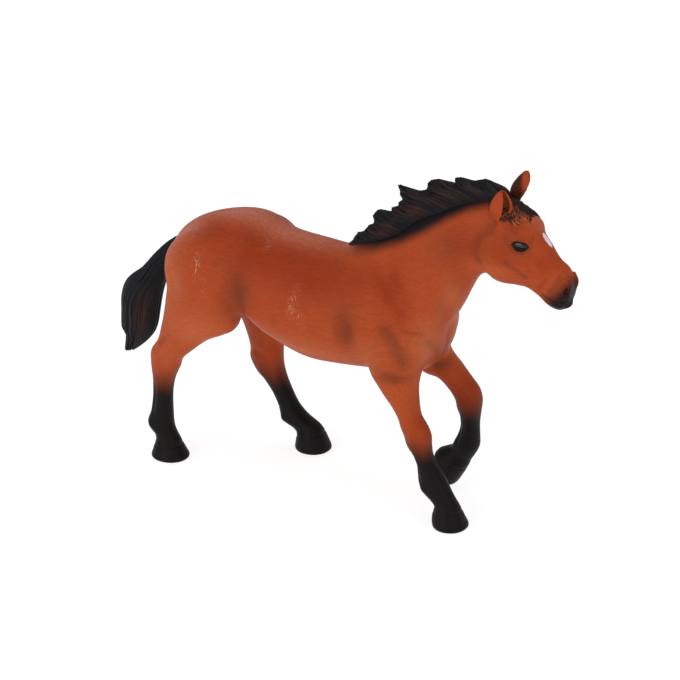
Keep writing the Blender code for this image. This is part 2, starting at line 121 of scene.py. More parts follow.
# Each leg runs from inside the trunk through knee or hock, fetlock and coronet to the sole,
# which ends just under the ground and is cut flat on it
rightForelegRings = [
    (36.0, 60.0, 14.0, 54.0, -9.7, 6.8, 0.0),
    (35.3, 49.0, 17.8, 45.8, -12.0, 6.8, 0.0),
    (34.4, 43.0, 21.4, 41.6, -13.0, 5.9, 0.0),
    (35.0, 37.0, 26.5, 36.4, -13.9, 4.9, -0.05),
    (36.1, 33.2, 29.0, 32.6, -14.3, 4.2, -0.08),
    (38.5, 30.0, 30.0, 29.6, -14.5, 4.2, -0.12),
    (39.7, 27.4, 31.3, 27.0, -14.6, 4.2, -0.15),
    (40.0, 24.6, 32.1, 24.4, -14.7, 3.8, -0.15),
    (40.7, 21.6, 34.2, 21.4, -14.9, 3.3, -0.12),
    (42.5, 18.4, 35.7, 18.4, -15.0, 3.2, -0.10),
    (44.9, 15.4, 36.4, 15.4, -15.1, 3.5, -0.05),
    (46.5, 12.9, 37.0, 12.6, -15.2, 3.9, 0.05),
    (47.9, 10.6, 38.5, 10.0, -15.3, 3.8, 0.05),
    (49.2, 8.6, 40.9, 8.0, -15.4, 3.6, 0.0),
    (50.3, 6.9, 42.6, 6.3, -15.5, 3.9, 0.0),
    (51.2, 5.3, 42.2, 4.6, -15.6, 4.5, 0.0),
    (52.4, 3.0, 42.0, 2.4, -15.7, 5.2, 0.0),
    (53.4, 1.2, 42.3, 1.0, -15.8, 5.7, 0.0),
    (53.3, 0.3, 42.6, 0.2, -15.8, 5.6, 0.0),
    (52.0, -0.6, 43.8, -0.6, -15.8, 4.6, 0.0),
]
leftForelegRings = [
    (33.0, 58.0, 14.0, 50.0, 7.4, 6.6, 0.0),
    (33.6, 48.0, 25.0, 39.6, 8.2, 6.0, 0.0),
    (37.8, 42.6, 31.0, 37.9, 8.5, 5.2, 0.0),
    (41.3, 38.8, 34.6, 34.6, 8.6, 4.5, -0.05),
    (44.2, 35.6, 36.8, 31.4, 8.6, 4.3, -0.10),
    (45.3, 32.0, 37.5, 28.6, 8.6, 4.3, -0.12),
    (45.0, 28.2, 38.5, 26.2, 8.6, 3.8, -0.15),
    (44.7, 24.0, 38.7, 23.0, 8.6, 3.2, -0.12),
    (44.9, 20.2, 38.0, 20.0, 8.6, 3.2, -0.10),
    (44.9, 16.4, 36.6, 17.0, 8.6, 3.7, -0.05),
    (43.6, 13.4, 35.8, 15.2, 8.6, 3.7, 0.05),
    (42.2, 11.2, 34.2, 14.4, 8.6, 3.6, 0.0),
    (41.5, 9.5, 32.2, 13.4, 8.6, 4.3, 0.0),
    (40.8, 8.0, 30.6, 12.4, 8.6, 4.9, 0.0),
    (39.2, 5.2, 30.0, 10.8, 8.6, 5.3, 0.0),
    (37.4, 2.4, 30.3, 9.0, 8.6, 5.6, 0.0),
    (36.0, 1.5, 30.3, 8.3, 8.6, 5.2, 0.0),
    (34.6, 1.9, 31.2, 7.4, 8.6, 3.6, 0.0),
]
rightHindRings = [
    (-23.0, 72.0, -50.0, 77.0, -7.5, 9.0, 0.0),
    (-23.8, 60.4, -55.2, 65.0, -9.3, 9.0, 0.0),
    (-28.8, 54.2, -56.0, 55.5, -11.1, 8.2, 0.0),
    (-32.2, 47.2, -56.2, 50.5, -12.4, 7.0, 0.0),
    (-40.0, 42.9, -57.2, 44.8, -13.2, 5.6, -0.05),
    (-45.6, 38.4, -58.4, 40.0, -13.7, 4.7, -0.15),
    (-49.6, 34.6, -60.8, 36.0, -14.2, 4.2, -0.25),
    (-50.8, 31.4, -60.8, 31.6, -14.4, 4.1, -0.22),
    (-52.6, 27.4, -60.1, 27.0, -14.5, 3.7, -0.15),
    (-53.4, 23.6, -60.0, 23.4, -14.6, 3.3, -0.10),
    (-53.6, 19.6, -60.2, 19.6, -14.7, 3.2, -0.10),
    (-53.5, 15.6, -60.8, 15.2, -14.8, 3.5, -0.05),
    (-53.3, 12.4, -61.8, 12.0, -14.9, 4.0, 0.05),
    (-52.8, 10.0, -61.2, 9.8, -15.0, 3.9, 0.05),
    (-51.9, 8.0, -59.4, 7.8, -15.0, 3.6, 0.0),
    (-50.9, 6.3, -58.9, 5.9, -15.0, 3.9, 0.0),
    (-50.2, 4.8, -59.4, 4.2, -15.1, 4.5, 0.0),
    (-49.0, 2.8, -59.9, 2.2, -15.2, 5.2, 0.0),
    (-47.9, 1.2, -60.3, 0.9, -15.3, 5.7, 0.0),
    (-48.0, 0.3, -60.1, 0.2, -15.3, 5.6, 0.0),
    (-49.4, -0.6, -58.8, -0.6, -15.3, 4.6, 0.0),
]
leftHindRings = [
    (-20.0, 69.0, -50.0, 76.0, 6.8, 9.0, 0.0),
    (-20.5, 57.0, -55.0, 63.0, 8.9, 9.0, 0.0),
    (-21.5, 48.0, -47.6, 51.6, 10.4, 8.2, 0.0),
    (-25.0, 41.0, -42.8, 44.1, 11.4, 6.8, 0.0),
    (-27.8, 35.0, -40.9, 38.8, 11.8, 5.4, -0.05),
    (-28.3, 30.6, -39.6, 32.6, 12.0, 4.5, -0.15),
    (-28.2, 26.8, -39.9, 28.2, 12.2, 4.1, -0.25),
    (-27.4, 23.6, -37.6, 24.0, 12.3, 3.8, -0.22),
    (-26.2, 20.6, -33.6, 20.0, 12.4, 3.4, -0.15),
    (-24.5, 17.4, -31.0, 16.4, 12.4, 3.2, -0.10),
    (-22.6, 14.2, -29.2, 12.6, 12.4, 3.4, -0.05),
    (-20.1, 11.8, -28.2, 9.6, 12.4, 3.9, 0.05),
    (-17.8, 10.3, -26.6, 7.9, 12.4, 3.9, 0.05),
    (-15.2, 9.0, -24.2, 6.6, 12.4, 3.6, 0.0),
    (-14.0, 7.8, -22.6, 5.4, 12.4, 3.9, 0.0),
    (-13.2, 6.2, -22.5, 4.2, 12.4, 4.7, 0.0),
    (-12.0, 3.6, -22.7, 2.4, 12.4, 5.3, 0.0),
    (-11.0, 1.4, -22.9, 1.0, 12.4, 5.7, 0.0),
    (-11.1, 0.4, -22.7, 0.2, 12.4, 5.6, 0.0),
    (-12.6, -0.6, -21.4, -0.6, 12.4, 4.6, 0.0),
]
legRings = {
    "right_foreleg": rightForelegRings,
    "left_foreleg": leftForelegRings,
    "right_hind_leg": rightHindRings,
    "left_hind_leg": leftHindRings,
}
coronetRow = 5                # counted back from the sole's last ring

# Swellings of the body and head: x, y, z of the middle, then half sizes along x, y and z
haunch = (-41.3, 10.1, 65.2, 15.6, 9.8, 13.4)
headSwellings = [
    (56.0, 3.4, 86.4, 6.2, 3.5, 6.6),   # cheek
    (64.3, 3.0, 93.2, 3.8, 3.35, 3.4),   # round the eye
    (78.0, 2.0, 80.6, 2.1, 2.2, 2.9),   # nostril
    (76.5, 0.0, 74.4, 2.9, 2.7, 1.9),   # chin
]

skinSizes = {
    "bodyVoxel": 0.43,        # mm
    "headVoxel": 0.335,
    "ringSides": 40,
    "ringSteps": 6,
    "fillet": 2.3,            # mm over which hollow joins are filled
    "evening": 1.3,           # mm over which the body and the neck are evened after that
    "elbow": (36.0, 44.0),    # heights from where, and above which, the body is evened and the legs aren't
    "polish": 0.5,            # mm over which a whole skin is evened
    "seamBlend": 5.0,         # mm over which the body's skin turns into the head's
}


def smoothRows(rows, steps):
    # Points along a Catmull-Rom curve through the rows
    rows = np.array(rows, float)
    ends = np.vstack([2 * rows[0] - rows[1], rows, 2 * rows[-1] - rows[-2]])
    out = []
    for i in range(1, len(ends) - 2):
        p0, p1, p2, p3 = ends[i - 1:i + 3]
        for t in np.arange(steps) / steps:
            line = 2 * p1 + (p2 - p0) * t
            bend = (2 * p0 - 5 * p1 + 4 * p2 - p3) * t ** 2 + (3 * p1 - p0 - 3 * p2 + p3) * t ** 3
            out.append((line + bend) / 2)
    out.append(rows[-1])
    return np.array(out)


def alongLine(line):
    # Turns a polyline into a function of its own share from 0 to 1
    line = np.array(line, float)
    run = np.concatenate([[0], np.cumsum(np.linalg.norm(np.diff(line, axis=0), axis=1))])
    axes = range(line.shape[1])
    return lambda share: np.array([np.interp(share * run[-1], run, line[:, k]) for k in axes]).T


def addTube(form, rings):
    # Skins a list of rings of points into one closed tube
    layers = [[form.verts.new(point) for point in ring] for ring in rings]
    for low, high in zip(layers, layers[1:]):
        for i in range(len(low)):
            j = (i + 1) % len(low)
            form.faces.new((low[i], low[j], high[j], high[i]))
    form.faces.new(layers[0])
    form.faces.new(layers[-1])


def addLoft(form, rows, square=2.0):
    rings = []
    for x1, z1, x2, z2, y, half, egg in smoothRows(rows, skinSizes["ringSteps"]):
        middle = Vector(((x1 + x2) / 2, y, (z1 + z2) / 2))
        reach = Vector(((x1 - x2) / 2, 0, (z1 - z2) / 2))
        ring = []
        for turn in np.linspace(0, math.tau, skinSizes["ringSides"], endpoint=False):
            c, s = math.cos(turn), math.sin(turn)
            swell = (abs(c) ** square + abs(s) ** square) ** (-1 / square)
            across = Vector((0, half * s * swell * (1 - egg * c), 0))
            ring.append(middle + reach * c * swell + across)
        rings.append(ring)
    addTube(form, rings)


def addSwelling(form, x, y, z, alongHalf, acrossHalf, upHalf):
    shape = Matrix.Translation((x, y, z)) @ Matrix.Diagonal((alongHalf, acrossHalf, upHalf, 1))
    bmesh.ops.create_uvsphere(form, u_segments=32, v_segments=20, radius=1, matrix=shape)


def fuse(name, form, voxel):
    # Every form in the bmesh becomes one closed skin of even quads
    bmesh.ops.recalc_face_normals(form, faces=form.faces)
    mesh = bpy.data.meshes.new(name)
    form.to_mesh(mesh)
    form.free()
    clay = addObject(name, mesh)
    remesh = clay.modifiers.new("fuse", "REMESH")
    remesh.mode = "VOXEL"
    remesh.voxel_size = voxel
    bpy.context.view_layer.update()
    graph = bpy.context.evaluated_depsgraph_get()
    fused = bpy.data.meshes.new_from_object(clay.evaluated_get(graph))
    bpy.data.objects.remove(clay)
    bpy.data.meshes.remove(mesh)
    return fused


def readArray(items, name, kind=float, width=1):
    values = np.empty(len(items) * width, kind)
    items.foreach_get(name, values)
    return values.reshape(-1, width) if width > 1 else values


def writeLayer(mesh, name, values):
    layer = mesh.attributes.new(name, "FLOAT", "POINT")
    layer.data.foreach_set("value", np.asarray(values, np.float32))


def countTriangles(mesh):
    return sum(readArray(mesh.polygons, "loop_total", int) - 2)


class Skin:
    # A fused mesh as arrays, for moving its points by formula
    def __init__(self, mesh, voxel):
        self.mesh = mesh
        self.voxel = voxel
        self.readMesh()

    def readMesh(self):
        mesh = self.mesh
        mesh.calc_loop_triangles()
        self.points = readArray(mesh.vertices, "co", float, 3)
        self.edges = readArray(mesh.edges, "vertices", np.int64, 2)
        self.tris = readArray(mesh.loop_triangles, "vertices", np.int64, 3)
        self.table = None

    def normals(self):
        a, b, c = (self.points[self.tris[:, k]] for k in range(3))
        faces = np.cross(b - a, c - a)
        out = np.zeros_like(self.points)
        for axis in range(3):
            for corner in range(3):
                out[:, axis] += np.bincount(self.tris[:, corner], faces[:, axis], len(out))
        return out / np.maximum(np.linalg.norm(out, axis=1), 1e-12)[:, None]

    def neighbours(self):
        # Each point's neighbours in a padded table, with the point itself where there are fewer
        if self.table is None:
            count = len(self.points)
            ends = np.concatenate([self.edges, self.edges[:, ::-1]])
            ends = ends[np.argsort(ends[:, 0], kind="stable")]
            joined = np.bincount(ends[:, 0], minlength=count)
            first = np.cumsum(joined) - joined
            slot = np.arange(len(ends)) - first[ends[:, 0]]
            near = np.repeat(np.arange(count)[:, None], joined.max(), axis=1)
            near[ends[:, 0], slot] = ends[:, 1]
            self.table = near, joined
        return self.table

    def relax(self, spread, weight=1.0, hollowOnly=False):
        # Evens the skin over a distance; with hollowOnly it fills creases and leaves ridges
        near, joined = self.neighbours()
        weight = np.broadcast_to(np.asarray(weight, float), (len(self.points),))
        active = np.nonzero(weight > 0.01)[0]
        share = 0.5 * weight[active]
        near, joined = near[active], joined[active][:, None]
        rounds = max(1, round(2 * (spread / self.voxel) ** 2))
        for turn in range(rounds):
            if hollowOnly and turn % 6 == 0:
                normals = self.normals()[active]
            own = self.points[active]
            pull = self.points[near[:, 0]] - own
            for k in range(1, near.shape[1]):
                pull += self.points[near[:, k]] - own
            pull /= joined
            amount = share
            if hollowOnly:
                amount = share * ((pull * normals).sum(1) > 0)
            self.points[active] = own + pull * amount[:, None]

    def refine(self, chosen):
        # Splits the chosen points' faces in four, where small features need it
        self.write()
        bm = bmesh.new()
        bm.from_mesh(self.mesh)
        bm.verts.ensure_lookup_table()
        edges = [edge for edge in bm.edges if chosen[edge.verts[0].index] and chosen[edge.verts[1].index]]
        bmesh.ops.subdivide_edges(bm, edges=edges, cuts=1, use_grid_fill=True)
        bm.to_mesh(self.mesh)
        bm.free()
        self.readMesh()

    def plant(self):
        # Fixes the surface that later marks are cast onto
        self.tree = BVHTree.FromPolygons(self.points.tolist(), self.tris.tolist())
        self.planted = self.normals()

    def onSide(self, x, z, side, start=60.0):
        hit = self.tree.ray_cast(Vector((x, side * start, z)), Vector((0, -side, 0)))[0]
        return None if hit is None else np.array(hit)

    def onInner(self, x, z, side):
        hit = self.tree.ray_cast(Vector((x, 0, z)), Vector((0, side, 0)))[0]
        return None if hit is None else np.array(hit)

    def nearest(self, place):
        return np.array(self.tree.find_nearest(Vector(place))[0])

    def press(self, path, radius, depth, fade=True):
        # Raises the skin along a path, or presses it in where depth is negative
        path = np.atleast_2d(np.array(path, float))
        low, high = path.min(0) - radius, path.max(0) + radius
        near = np.nonzero(((self.points > low) & (self.points < high)).all(1))[0]
        if not len(near):
            return
        p = self.points[near]
        if len(path) == 1:
            away = np.linalg.norm(p - path[0], axis=1)
            fall = np.clip(1 - (away / radius) ** 2, 0, None) ** 2
        else:
            away = np.full(len(p), np.inf)
            run = np.zeros(len(p))
            for i, (start, end) in enumerate(zip(path, path[1:])):
                leg = end - start
                t = np.clip(((p - start) @ leg) / max(leg @ leg, 1e-9), 0, 1)
                d = np.linalg.norm(p - start - t[:, None] * leg, axis=1)
                closer = d < away
                away[closer] = d[closer]
                run[closer] = (i + t[closer]) / (len(path) - 1)
            fall = np.clip(1 - (away / radius) ** 2, 0, None) ** 2
            if fade:
                fall *= np.sqrt(np.clip(4 * run * (1 - run), 0, 1))
        self.points[near] += self.planted[near] * (depth * fall)[:, None]

    def mark(self, places, radius, depth, sides=(-1, 1), inner=False):
        # A stroke drawn in the side view and cast onto one side or both
        for side in sides:
            drawn = places if len(places) == 1 else smoothRows(places, 4)
            cast = self.onInner if inner else self.onSide
            path = [cast(x, z, side) for x, z in drawn]
            path = [point for point in path if point is not None]
            if path:
                self.press(path, radius, depth)

    def write(self):
        self.mesh.vertices.foreach_set("co", self.points.ravel())
        self.mesh.update()
        return self.mesh


# Strokes of the sculpting tool: places in the side view, radius and depth in mm, both sides alike
bodyStrokes = [
    ([(-24.0, 70.0), (-26.6, 63.5), (-29.6, 55.5)], 6.0, -1.1),      # flank in front of the thigh
    ([(-32.0, 71.0), (-34.5, 62.0), (-34.5, 54.0)], 7.0, 0.7),       # thigh's front muscle
    ([(-27.0, 76.0)], 6.0, 0.7),                                     # hip bone
    ([(-46.0, 73.0), (-49.0, 64.0), (-50.5, 55.0)], 3.4, -0.5),      # between rump and buttock muscles
    ([(-53.0, 66.0), (-53.5, 58.0)], 4.0, 0.45),                     # buttock
    ([(-29.5, 50.5), (-33.5, 47.5)], 4.5, 0.6),                      # stifle
    ([(-40.0, 52.0), (-46.0, 46.5), (-51.0, 43.0)], 3.0, -0.4),      # down the gaskin
    ([(-47.5, 41.0), (-52.0, 38.0)], 3.0, 0.35),
    ([(-52.5, 43.5), (-56.0, 39.5)], 1.8, -0.5),                     # in front of the hock's tendon
    ([(9.4, 63.0), (11.6, 58.6), (13.8, 52.0)], 4.2, -1.1),          # behind the elbow
    ([(15.5, 67.0), (18.5, 60.0), (19.5, 54.0)], 7.0, 1.0),          # back of the upper arm
    ([(17.5, 80.5), (22.0, 76.2), (27.2, 70.5), (30.6, 65.5)], 4.6, -0.95),   # before the shoulder blade
    ([(12.0, 79.5), (16.5, 73.5), (21.0, 68.0), (24.5, 63.0)], 4.6, 0.6),     # the blade's ridge
    ([(9.0, 77.0), (11.0, 71.0), (12.0, 66.0)], 4.0, -0.4),          # behind the blade
    ([(32.5, 60.5), (33.0, 56.0)], 6.0, 0.9),                        # point of the shoulder
    ([(24.6, 61.0), (27.8, 56.6), (30.4, 52.0)], 3.8, -0.85),        # between upper arm and forearm
    ([(21.0, 44.2), (27.5, 46.6), (33.0, 46.6)], 2.2, -0.45),        # crease across the forearm
    ([(24.5, 50.0), (26.5, 44.0), (29.0, 38.0)], 4.5, 0.35),         # forearm muscle
    ([(43.4, 74.5), (41.4, 69.0), (38.8, 61.5)], 3.4, -0.8),         # groove of the throat
    ([(38.6, 78.5), (36.0, 71.0), (33.5, 65.0)], 4.5, 0.45),
    ([(35.8, 57.0), (36.6, 52.5), (35.4, 48.0)], 2.0, -0.25),         # edge of the breast
    ([(-20.0, 48.5), (-6.0, 46.4), (8.0, 46.6)], 4.0, -0.35),        # belly line
    ([(-14.0, 68.0), (-13.0, 60.0), (-15.0, 53.0)], 2.6, 0.22),      # ribs
    ([(-8.0, 68.5), (-7.0, 60.0), (-9.0, 52.0)], 2.6, 0.22),
    ([(-2.0, 68.5), (-1.0, 60.0), (-3.0, 52.0)], 2.6, 0.2),
]
# The same down the middle: x, y and z
middleStrokes = [
    ([(-50.0, 0, 79.0), (-38.0, 0, 83.0), (-26.0, 0, 82.0)], 3.2, -0.35),   # croup
    ([(39.6, 0, 59.0), (38.0, 0, 53.0), (34.5, 0, 46.0)], 2.4, -0.3),       # breast
]
# Strokes on one leg: its side, its face, places, radius and depth
legStrokes = [
    (-1, "outer", [(34.4, 23.0), (36.4, 18.0), (38.6, 13.6)], 1.3, -0.42),     # between bone and tendon
    (-1, "outer", [(36.0, 28.0)], 2.6, 0.3),
    (-1, "outer", [(39.4, 11.6)], 2.0, 0.3),
    (-1, "outer", [(-58.0, 26.5), (-58.3, 20.5), (-58.9, 14.5)], 1.3, -0.42),
    (-1, "outer", [(-53.2, 37.0), (-56.2, 35.5)], 2.0, -0.45),
    (-1, "outer", [(-56.0, 31.5)], 2.4, 0.3),
    (-1, "outer", [(-59.3, 11.4)], 2.0, 0.3),
    (1, "both", [(-35.6, 24.0), (-32.4, 18.6), (-28.6, 12.6)], 1.3, -0.42),
    (1, "both", [(-33.0, 33.0), (-36.4, 31.0)], 2.0, -0.45),
    (1, "inner", [(-26.6, 9.6)], 2.0, 0.3),
    (1, "both", [(39.6, 24.0), (39.0, 20.0), (38.2, 16.6)], 1.3, -0.42),
    (1, "inner", [(41.2, 31.0)], 2.4, 0.3),
]
headStrokes = [
    ([(56.6, 98.6), (53.6, 94.6), (50.6, 90.8), (49.8, 87.0), (51.6, 83.6)], 1.9, -0.6),   # behind the jaw
    ([(52.0, 82.2), (55.5, 80.0), (59.5, 79.0)], 1.6, 0.25),         # jaw's edge
    ([(59.4, 88.2), (62.5, 86.8), (66.0, 84.6), (69.0, 82.0)], 1.3, 0.38),   # cheek bone
    ([(59.8, 85.6), (62.6, 84.0), (66.0, 81.8)], 1.7, -0.35),
    ([(67.6, 90.6), (71.0, 87.4), (75.0, 83.2)], 1.9, -0.4),         # beside the bridge of the nose
    ([(61.4, 96.4), (63.2, 96.8)], 2.0, -0.5),                       # hollow over the eye
    ([(60.2, 92.4)], 1.6, -0.3),
    ([(70.6, 78.4), (71.2, 80.4), (72.4, 82.0)], 1.3, 0.2),          # cheek's corner by the mouth
    ([(71.0, 76.9), (73.2, 76.1), (75.6, 75.6), (78.0, 75.9), (79.8, 77.2)], 0.75, -0.45),  # mouth
    ([(72.4, 77.5), (75.6, 76.9), (78.4, 77.1)], 1.1, 0.3),          # upper lip
    ([(73.0, 74.6), (75.8, 74.0), (78.0, 74.4)], 1.1, 0.25),         # lower lip
    ([(71.6, 74.0), (72.8, 73.2)], 1.2, -0.35),                      # behind the chin
    ([(76.8, 79.0), (76.9, 81.2), (78.1, 82.9), (79.6, 82.8)], 0.95, 0.6),   # rim of the nostril
    ([(78.5, 78.4), (78.8, 79.5), (79.4, 80.6)], 1.15, -1.3),       # nostril
]

eye = {
    "middle": (64.35, 91.9),
    "long": 2.65,             # half length from corner to corner
    "tall": 1.2,              # half height of the opening
    "tilt": -4.0,             # degrees, the front corner lower
    "bulge": 1.05,
    "proud": 0.45,            # how far its front stands out of the socket
    # Lids and the creases beyond them, from the almond: stretch and shift along, stretch and shift up,
    # radius and depth
    "lids": [
        (1.06, 0.0, 1.1, 0.25, 0.85, 0.5),
        (1.04, 0.0, -1.0, -0.2, 0.75, 0.4),
        (1.15, -0.2, 1.2, 1.25, 0.7, -0.28),
        (1.05, -0.2, -1.1, -1.2, 0.7, -0.22),
    ],
}
ear = {
    "base": {-1: (56.9, -4.6, 96.6), 1: (55.6, 4.6, 96.8)},
    "tip": {-1: (59.2, -7.9, 109.0), 1: (59.5, 7.9, 110.4)},
    "faces": 18.0,            # degrees that the opening turns outward from straight ahead
    "opening": 46.0,          # half the opening's angle
    "hollow": (0.62, 0.42),   # how deep the cup is at its base and tip, as a share of the radius
    "radii": {
        -1: [(0.0, 1.4), (0.15, 1.8), (0.3, 2.6), (0.45, 3.4),
             (0.55, 3.5), (0.7, 3.0), (0.88, 1.9), (1.0, 0.75)],
        1: [(0.0, 1.4), (0.15, 1.6), (0.3, 1.8), (0.45, 2.4),
            (0.6, 2.9), (0.72, 2.8), (0.88, 1.9), (1.0, 0.75)],
    },
}


def earMiddle(t, side):
    base, tip = np.array(ear["base"][side]), np.array(ear["tip"][side])
    return base + (tip - base) * t


def addEar(form, side):
    shares, radii = zip(*ear["radii"][side])
    rings = []
    for t in np.linspace(0, 1, 16):
        x, y, z = earMiddle(t, side)
        radius = np.interp(t, shares, radii)
        half = math.radians(ear["opening"]) * (1 - 0.35 * t)
        facing = -math.radians(ear["faces"])
        deep = ear["hollow"][0] * (1 - t) + ear["hollow"][1] * t
        sweep = np.linspace(facing + half, facing + math.tau - half, 24)
        ring = [(radius * math.cos(a), radius * math.sin(a)) for a in sweep]
        # the inner wall is a shallow bowl between the two rims
        for a in sweep[::-1]:
            reach = abs(math.sin((a - facing) / 2))
            inner = radius * (0.80 - 0.55 * (1 - deep) * reach)
            ring.append((inner * math.cos(a), inner * math.sin(a)))
        rings.append([Vector((x + dx, y - side * dy, z)) for dx, dy in ring])
    addTube(form, rings)
    # The cup's floor joins the ear to the poll
    x, y, z = earMiddle(0, side)
    addSwelling(form, x + 0.2, y - 0.4 * side, z + 1.2, 2.4, 2.2, 3.0)


def eyeFrame(side):
    # The eye's place on the cheek, and its directions along, out and up
    x, z = eye["middle"]
    middle = headSkin.onSide(x, z, side)
    out = np.array(headSkin.tree.find_nearest(Vector(middle))[1])
    tilt = math.radians(eye["tilt"])
    along = np.array([math.cos(tilt), 0, math.sin(tilt)])
    along -= out * (along @ out)
    along /= np.linalg.norm(along)
    up = np.cross(along, out) * -side
    return middle, along, out, up


def almond(u):
    # Half height of the eye's opening along its length, where u runs from -1 to 1
    return np.clip(1 - np.abs(u) ** 2.6, 0, None) ** 0.75


def sculptEye(side):
    middle, along, out, up = eyeFrame(side)
    us = np.linspace(-1, 1, 15)
    long, tall = eye["long"], eye["tall"]
    headSkin.press([middle - along * 1.4, middle + along * 1.3], 2.3, -1.0, fade=False)
    for stretch, shift, rise, beyond, radius, depth in eye["lids"]:
        line = []
        for u in us:
            place = middle + along * (u * long * stretch + shift) + up * (almond(u) * tall * rise + beyond)
            line.append(headSkin.nearest(place))
        headSkin.press(line, radius, depth)


def makeBodySkin():
    form = bmesh.new()
    addLoft(form, trunkRings)
    addLoft(form, neckRings)
    for rings in legRings.values():
        addLoft(form, rings, square=2.1)
    for side in (-1, 1):
        x, y, z, along, across, up = haunch
        addSwelling(form, x, side * y, z, along, across, up)
    voxel = skinSizes["bodyVoxel"]
    skin = Skin(fuse("bodySkin", form, voxel), voxel)
    low, top = skinSizes["elbow"]
    high = np.clip((skin.points[:, 2] - low) / (top - low), 0, 1)
    skin.relax(skinSizes["fillet"], weight=high, hollowOnly=True)
    skin.relax(skinSizes["evening"], weight=high)
    skin.refine(skin.points[:, 2] < 30)
    skin.relax(skinSizes["polish"])
    skin.plant()
    for places, radius, depth in bodyStrokes:
        skin.mark(places, radius, depth)
    for places, radius, depth in middleStrokes:
        skin.press([skin.nearest(place) for place in smoothRows(places, 4)], radius, depth)
    for side, face, places, radius, depth in legStrokes:
        for inner in {"inner": [True], "outer": [False], "both": [True, False]}[face]:
            skin.mark(places, radius, depth, sides=(side,), inner=inner)
    for rings in legRings.values():
        x1, z1, x2, z2, y, half, egg = rings[-coronetRow]
        hoop = []
        for turn in np.linspace(0, math.tau, 40):
            c, s = math.cos(turn), math.sin(turn)
            place = ((x1 + x2) / 2 + (x1 - x2) / 2 * c, y + half * s, (z1 + z2) / 2 + (z1 - z2) / 2 * c)
            hoop.append(skin.nearest(place))
        skin.press(hoop, 0.7, -0.14, fade=False)
    return skin


def makeHeadSkin():
    form = bmesh.new()
    addLoft(form, [row for row in trunkRings if row[0] > 2])
    addLoft(form, neckRings)
    addLoft(form, headRings, square=2.15)
    for side in (-1, 1):
        for x, y, z, along, across, up in headSwellings:
            addSwelling(form, x, side * y, z, along, across, up)
        addEar(form, side)
    voxel = skinSizes["headVoxel"]
    skin = Skin(fuse("headSkin", form, voxel), voxel)
    ears = np.clip((skin.points[:, 2] - 99.5) / 2.5, 0, 1)
    skin.relax(skinSizes["fillet"], weight=1 - ears, hollowOnly=True)
    neckOnly = np.clip((60 - skin.points[:, 0]) / 10, 0, 1) * (1 - ears)
    skin.relax(skinSizes["evening"], weight=0.3 * (1 - ears) + 0.7 * neckOnly)
    x, y, z = skin.points.T
    fine = np.hypot(x - eye["middle"][0], z - eye["middle"][1]) < 4.6
    fine |= np.hypot(x - 78.5, z - 79) < 4.5
    fine |= (z > 98) & (x > 50) & (x < 64)
    skin.refine(fine)
    skin.relax(skinSizes["polish"])
    skin.plant()
    return skin


def sculptHead():
    for places, radius, depth in bodyStrokes:
        headSkin.mark(places, radius, depth)
    for places, radius, depth in headStrokes:
        headSkin.mark(places, radius, depth)
    for side in (-1, 1):
        sculptEye(side)


def meetHead():
    # Near the neck's seam the body's skin is laid onto the head's
    seam, outward = neckSeam
    away = np.abs((bodySkin.points - np.array(seam)) @ np.array(outward))
    near = np.nonzero((away < skinSizes["seamBlend"]) & (bodySkin.points[:, 2] > 40))[0]
    for i in near:
        share = 1 - ramp(away[i], 0.3, skinSizes["seamBlend"])
        bodySkin.points[i] += (headSkin.nearest(bodySkin.points[i]) - bodySkin.points[i]) * share


def ramp(value, start, end):
    # 0 at start and 1 at end, eased
    t = np.clip((value - start) / (end - start), 0, 1)
    return t * t * (3 - 2 * t)


# Seams: a point of the plane, the direction out of the trunk, and the limb's own quarter
def outOf(turn):
    return Vector((math.sin(math.radians(turn)), 0, -math.cos(math.radians(turn))))


neckSeam = (Vector((26.5, 0, 71.2)), outOf(148))
limbSeams = {
    "right_foreleg": (Vector((30.5, 0, 37.5)), outOf(20), (1, -1)),
    "left_foreleg": (Vector((33.5, 0, 39.5)), outOf(35), (1, 1)),
    "right_hind_leg": (Vector((-50.0, 0, 39.8)), outOf(-15), (-1, -1)),
    "left_hind_leg": (Vector((-35.2, 0, 38.5)), outOf(-8), (-1, 1)),
}

headSkin = makeHeadSkin()
sculptHead()
headSkin.plant()
print("head skin:", len(headSkin.points), "points")
bodySkin = makeBodySkin()
meetHead()
print("body skin:", len(bodySkin.points), "points")


def pickFaces(mesh, keep, name):
    # A new mesh of only the faces to keep
    totals = readArray(mesh.polygons, "loop_total", np.int32)
    corners = readArray(mesh.loops, "vertex_index", np.int32)[np.repeat(keep, totals)]
    used, corners = np.unique(corners, return_inverse=True)
    totals = totals[keep]
    out = bpy.data.meshes.new(name)
    out.vertices.add(len(used))
    out.vertices.foreach_set("co", readArray(mesh.vertices, "co", np.float32, 3)[used].ravel())
    out.loops.add(len(corners))
    out.loops.foreach_set("vertex_index", corners.astype(np.int32))
    out.polygons.add(len(totals))
    out.polygons.foreach_set("loop_start", (np.cumsum(totals) - totals).astype(np.int32))
    out.update(calc_edges=True)
    return out


def cutPlane(bm, place, outward, clearOuter=False, clearInner=False, faces=None):
    faces = list(bm.faces) if faces is None else faces
    geom = set(faces)
    for face in faces:
        geom.update(face.edges)
        geom.update(face.verts)
    bmesh.ops.bisect_plane(
        bm, geom=list(geom), dist=1e-5, plane_co=place, plane_no=outward,
        clear_outer=clearOuter, clear_inner=clearInner,
    )


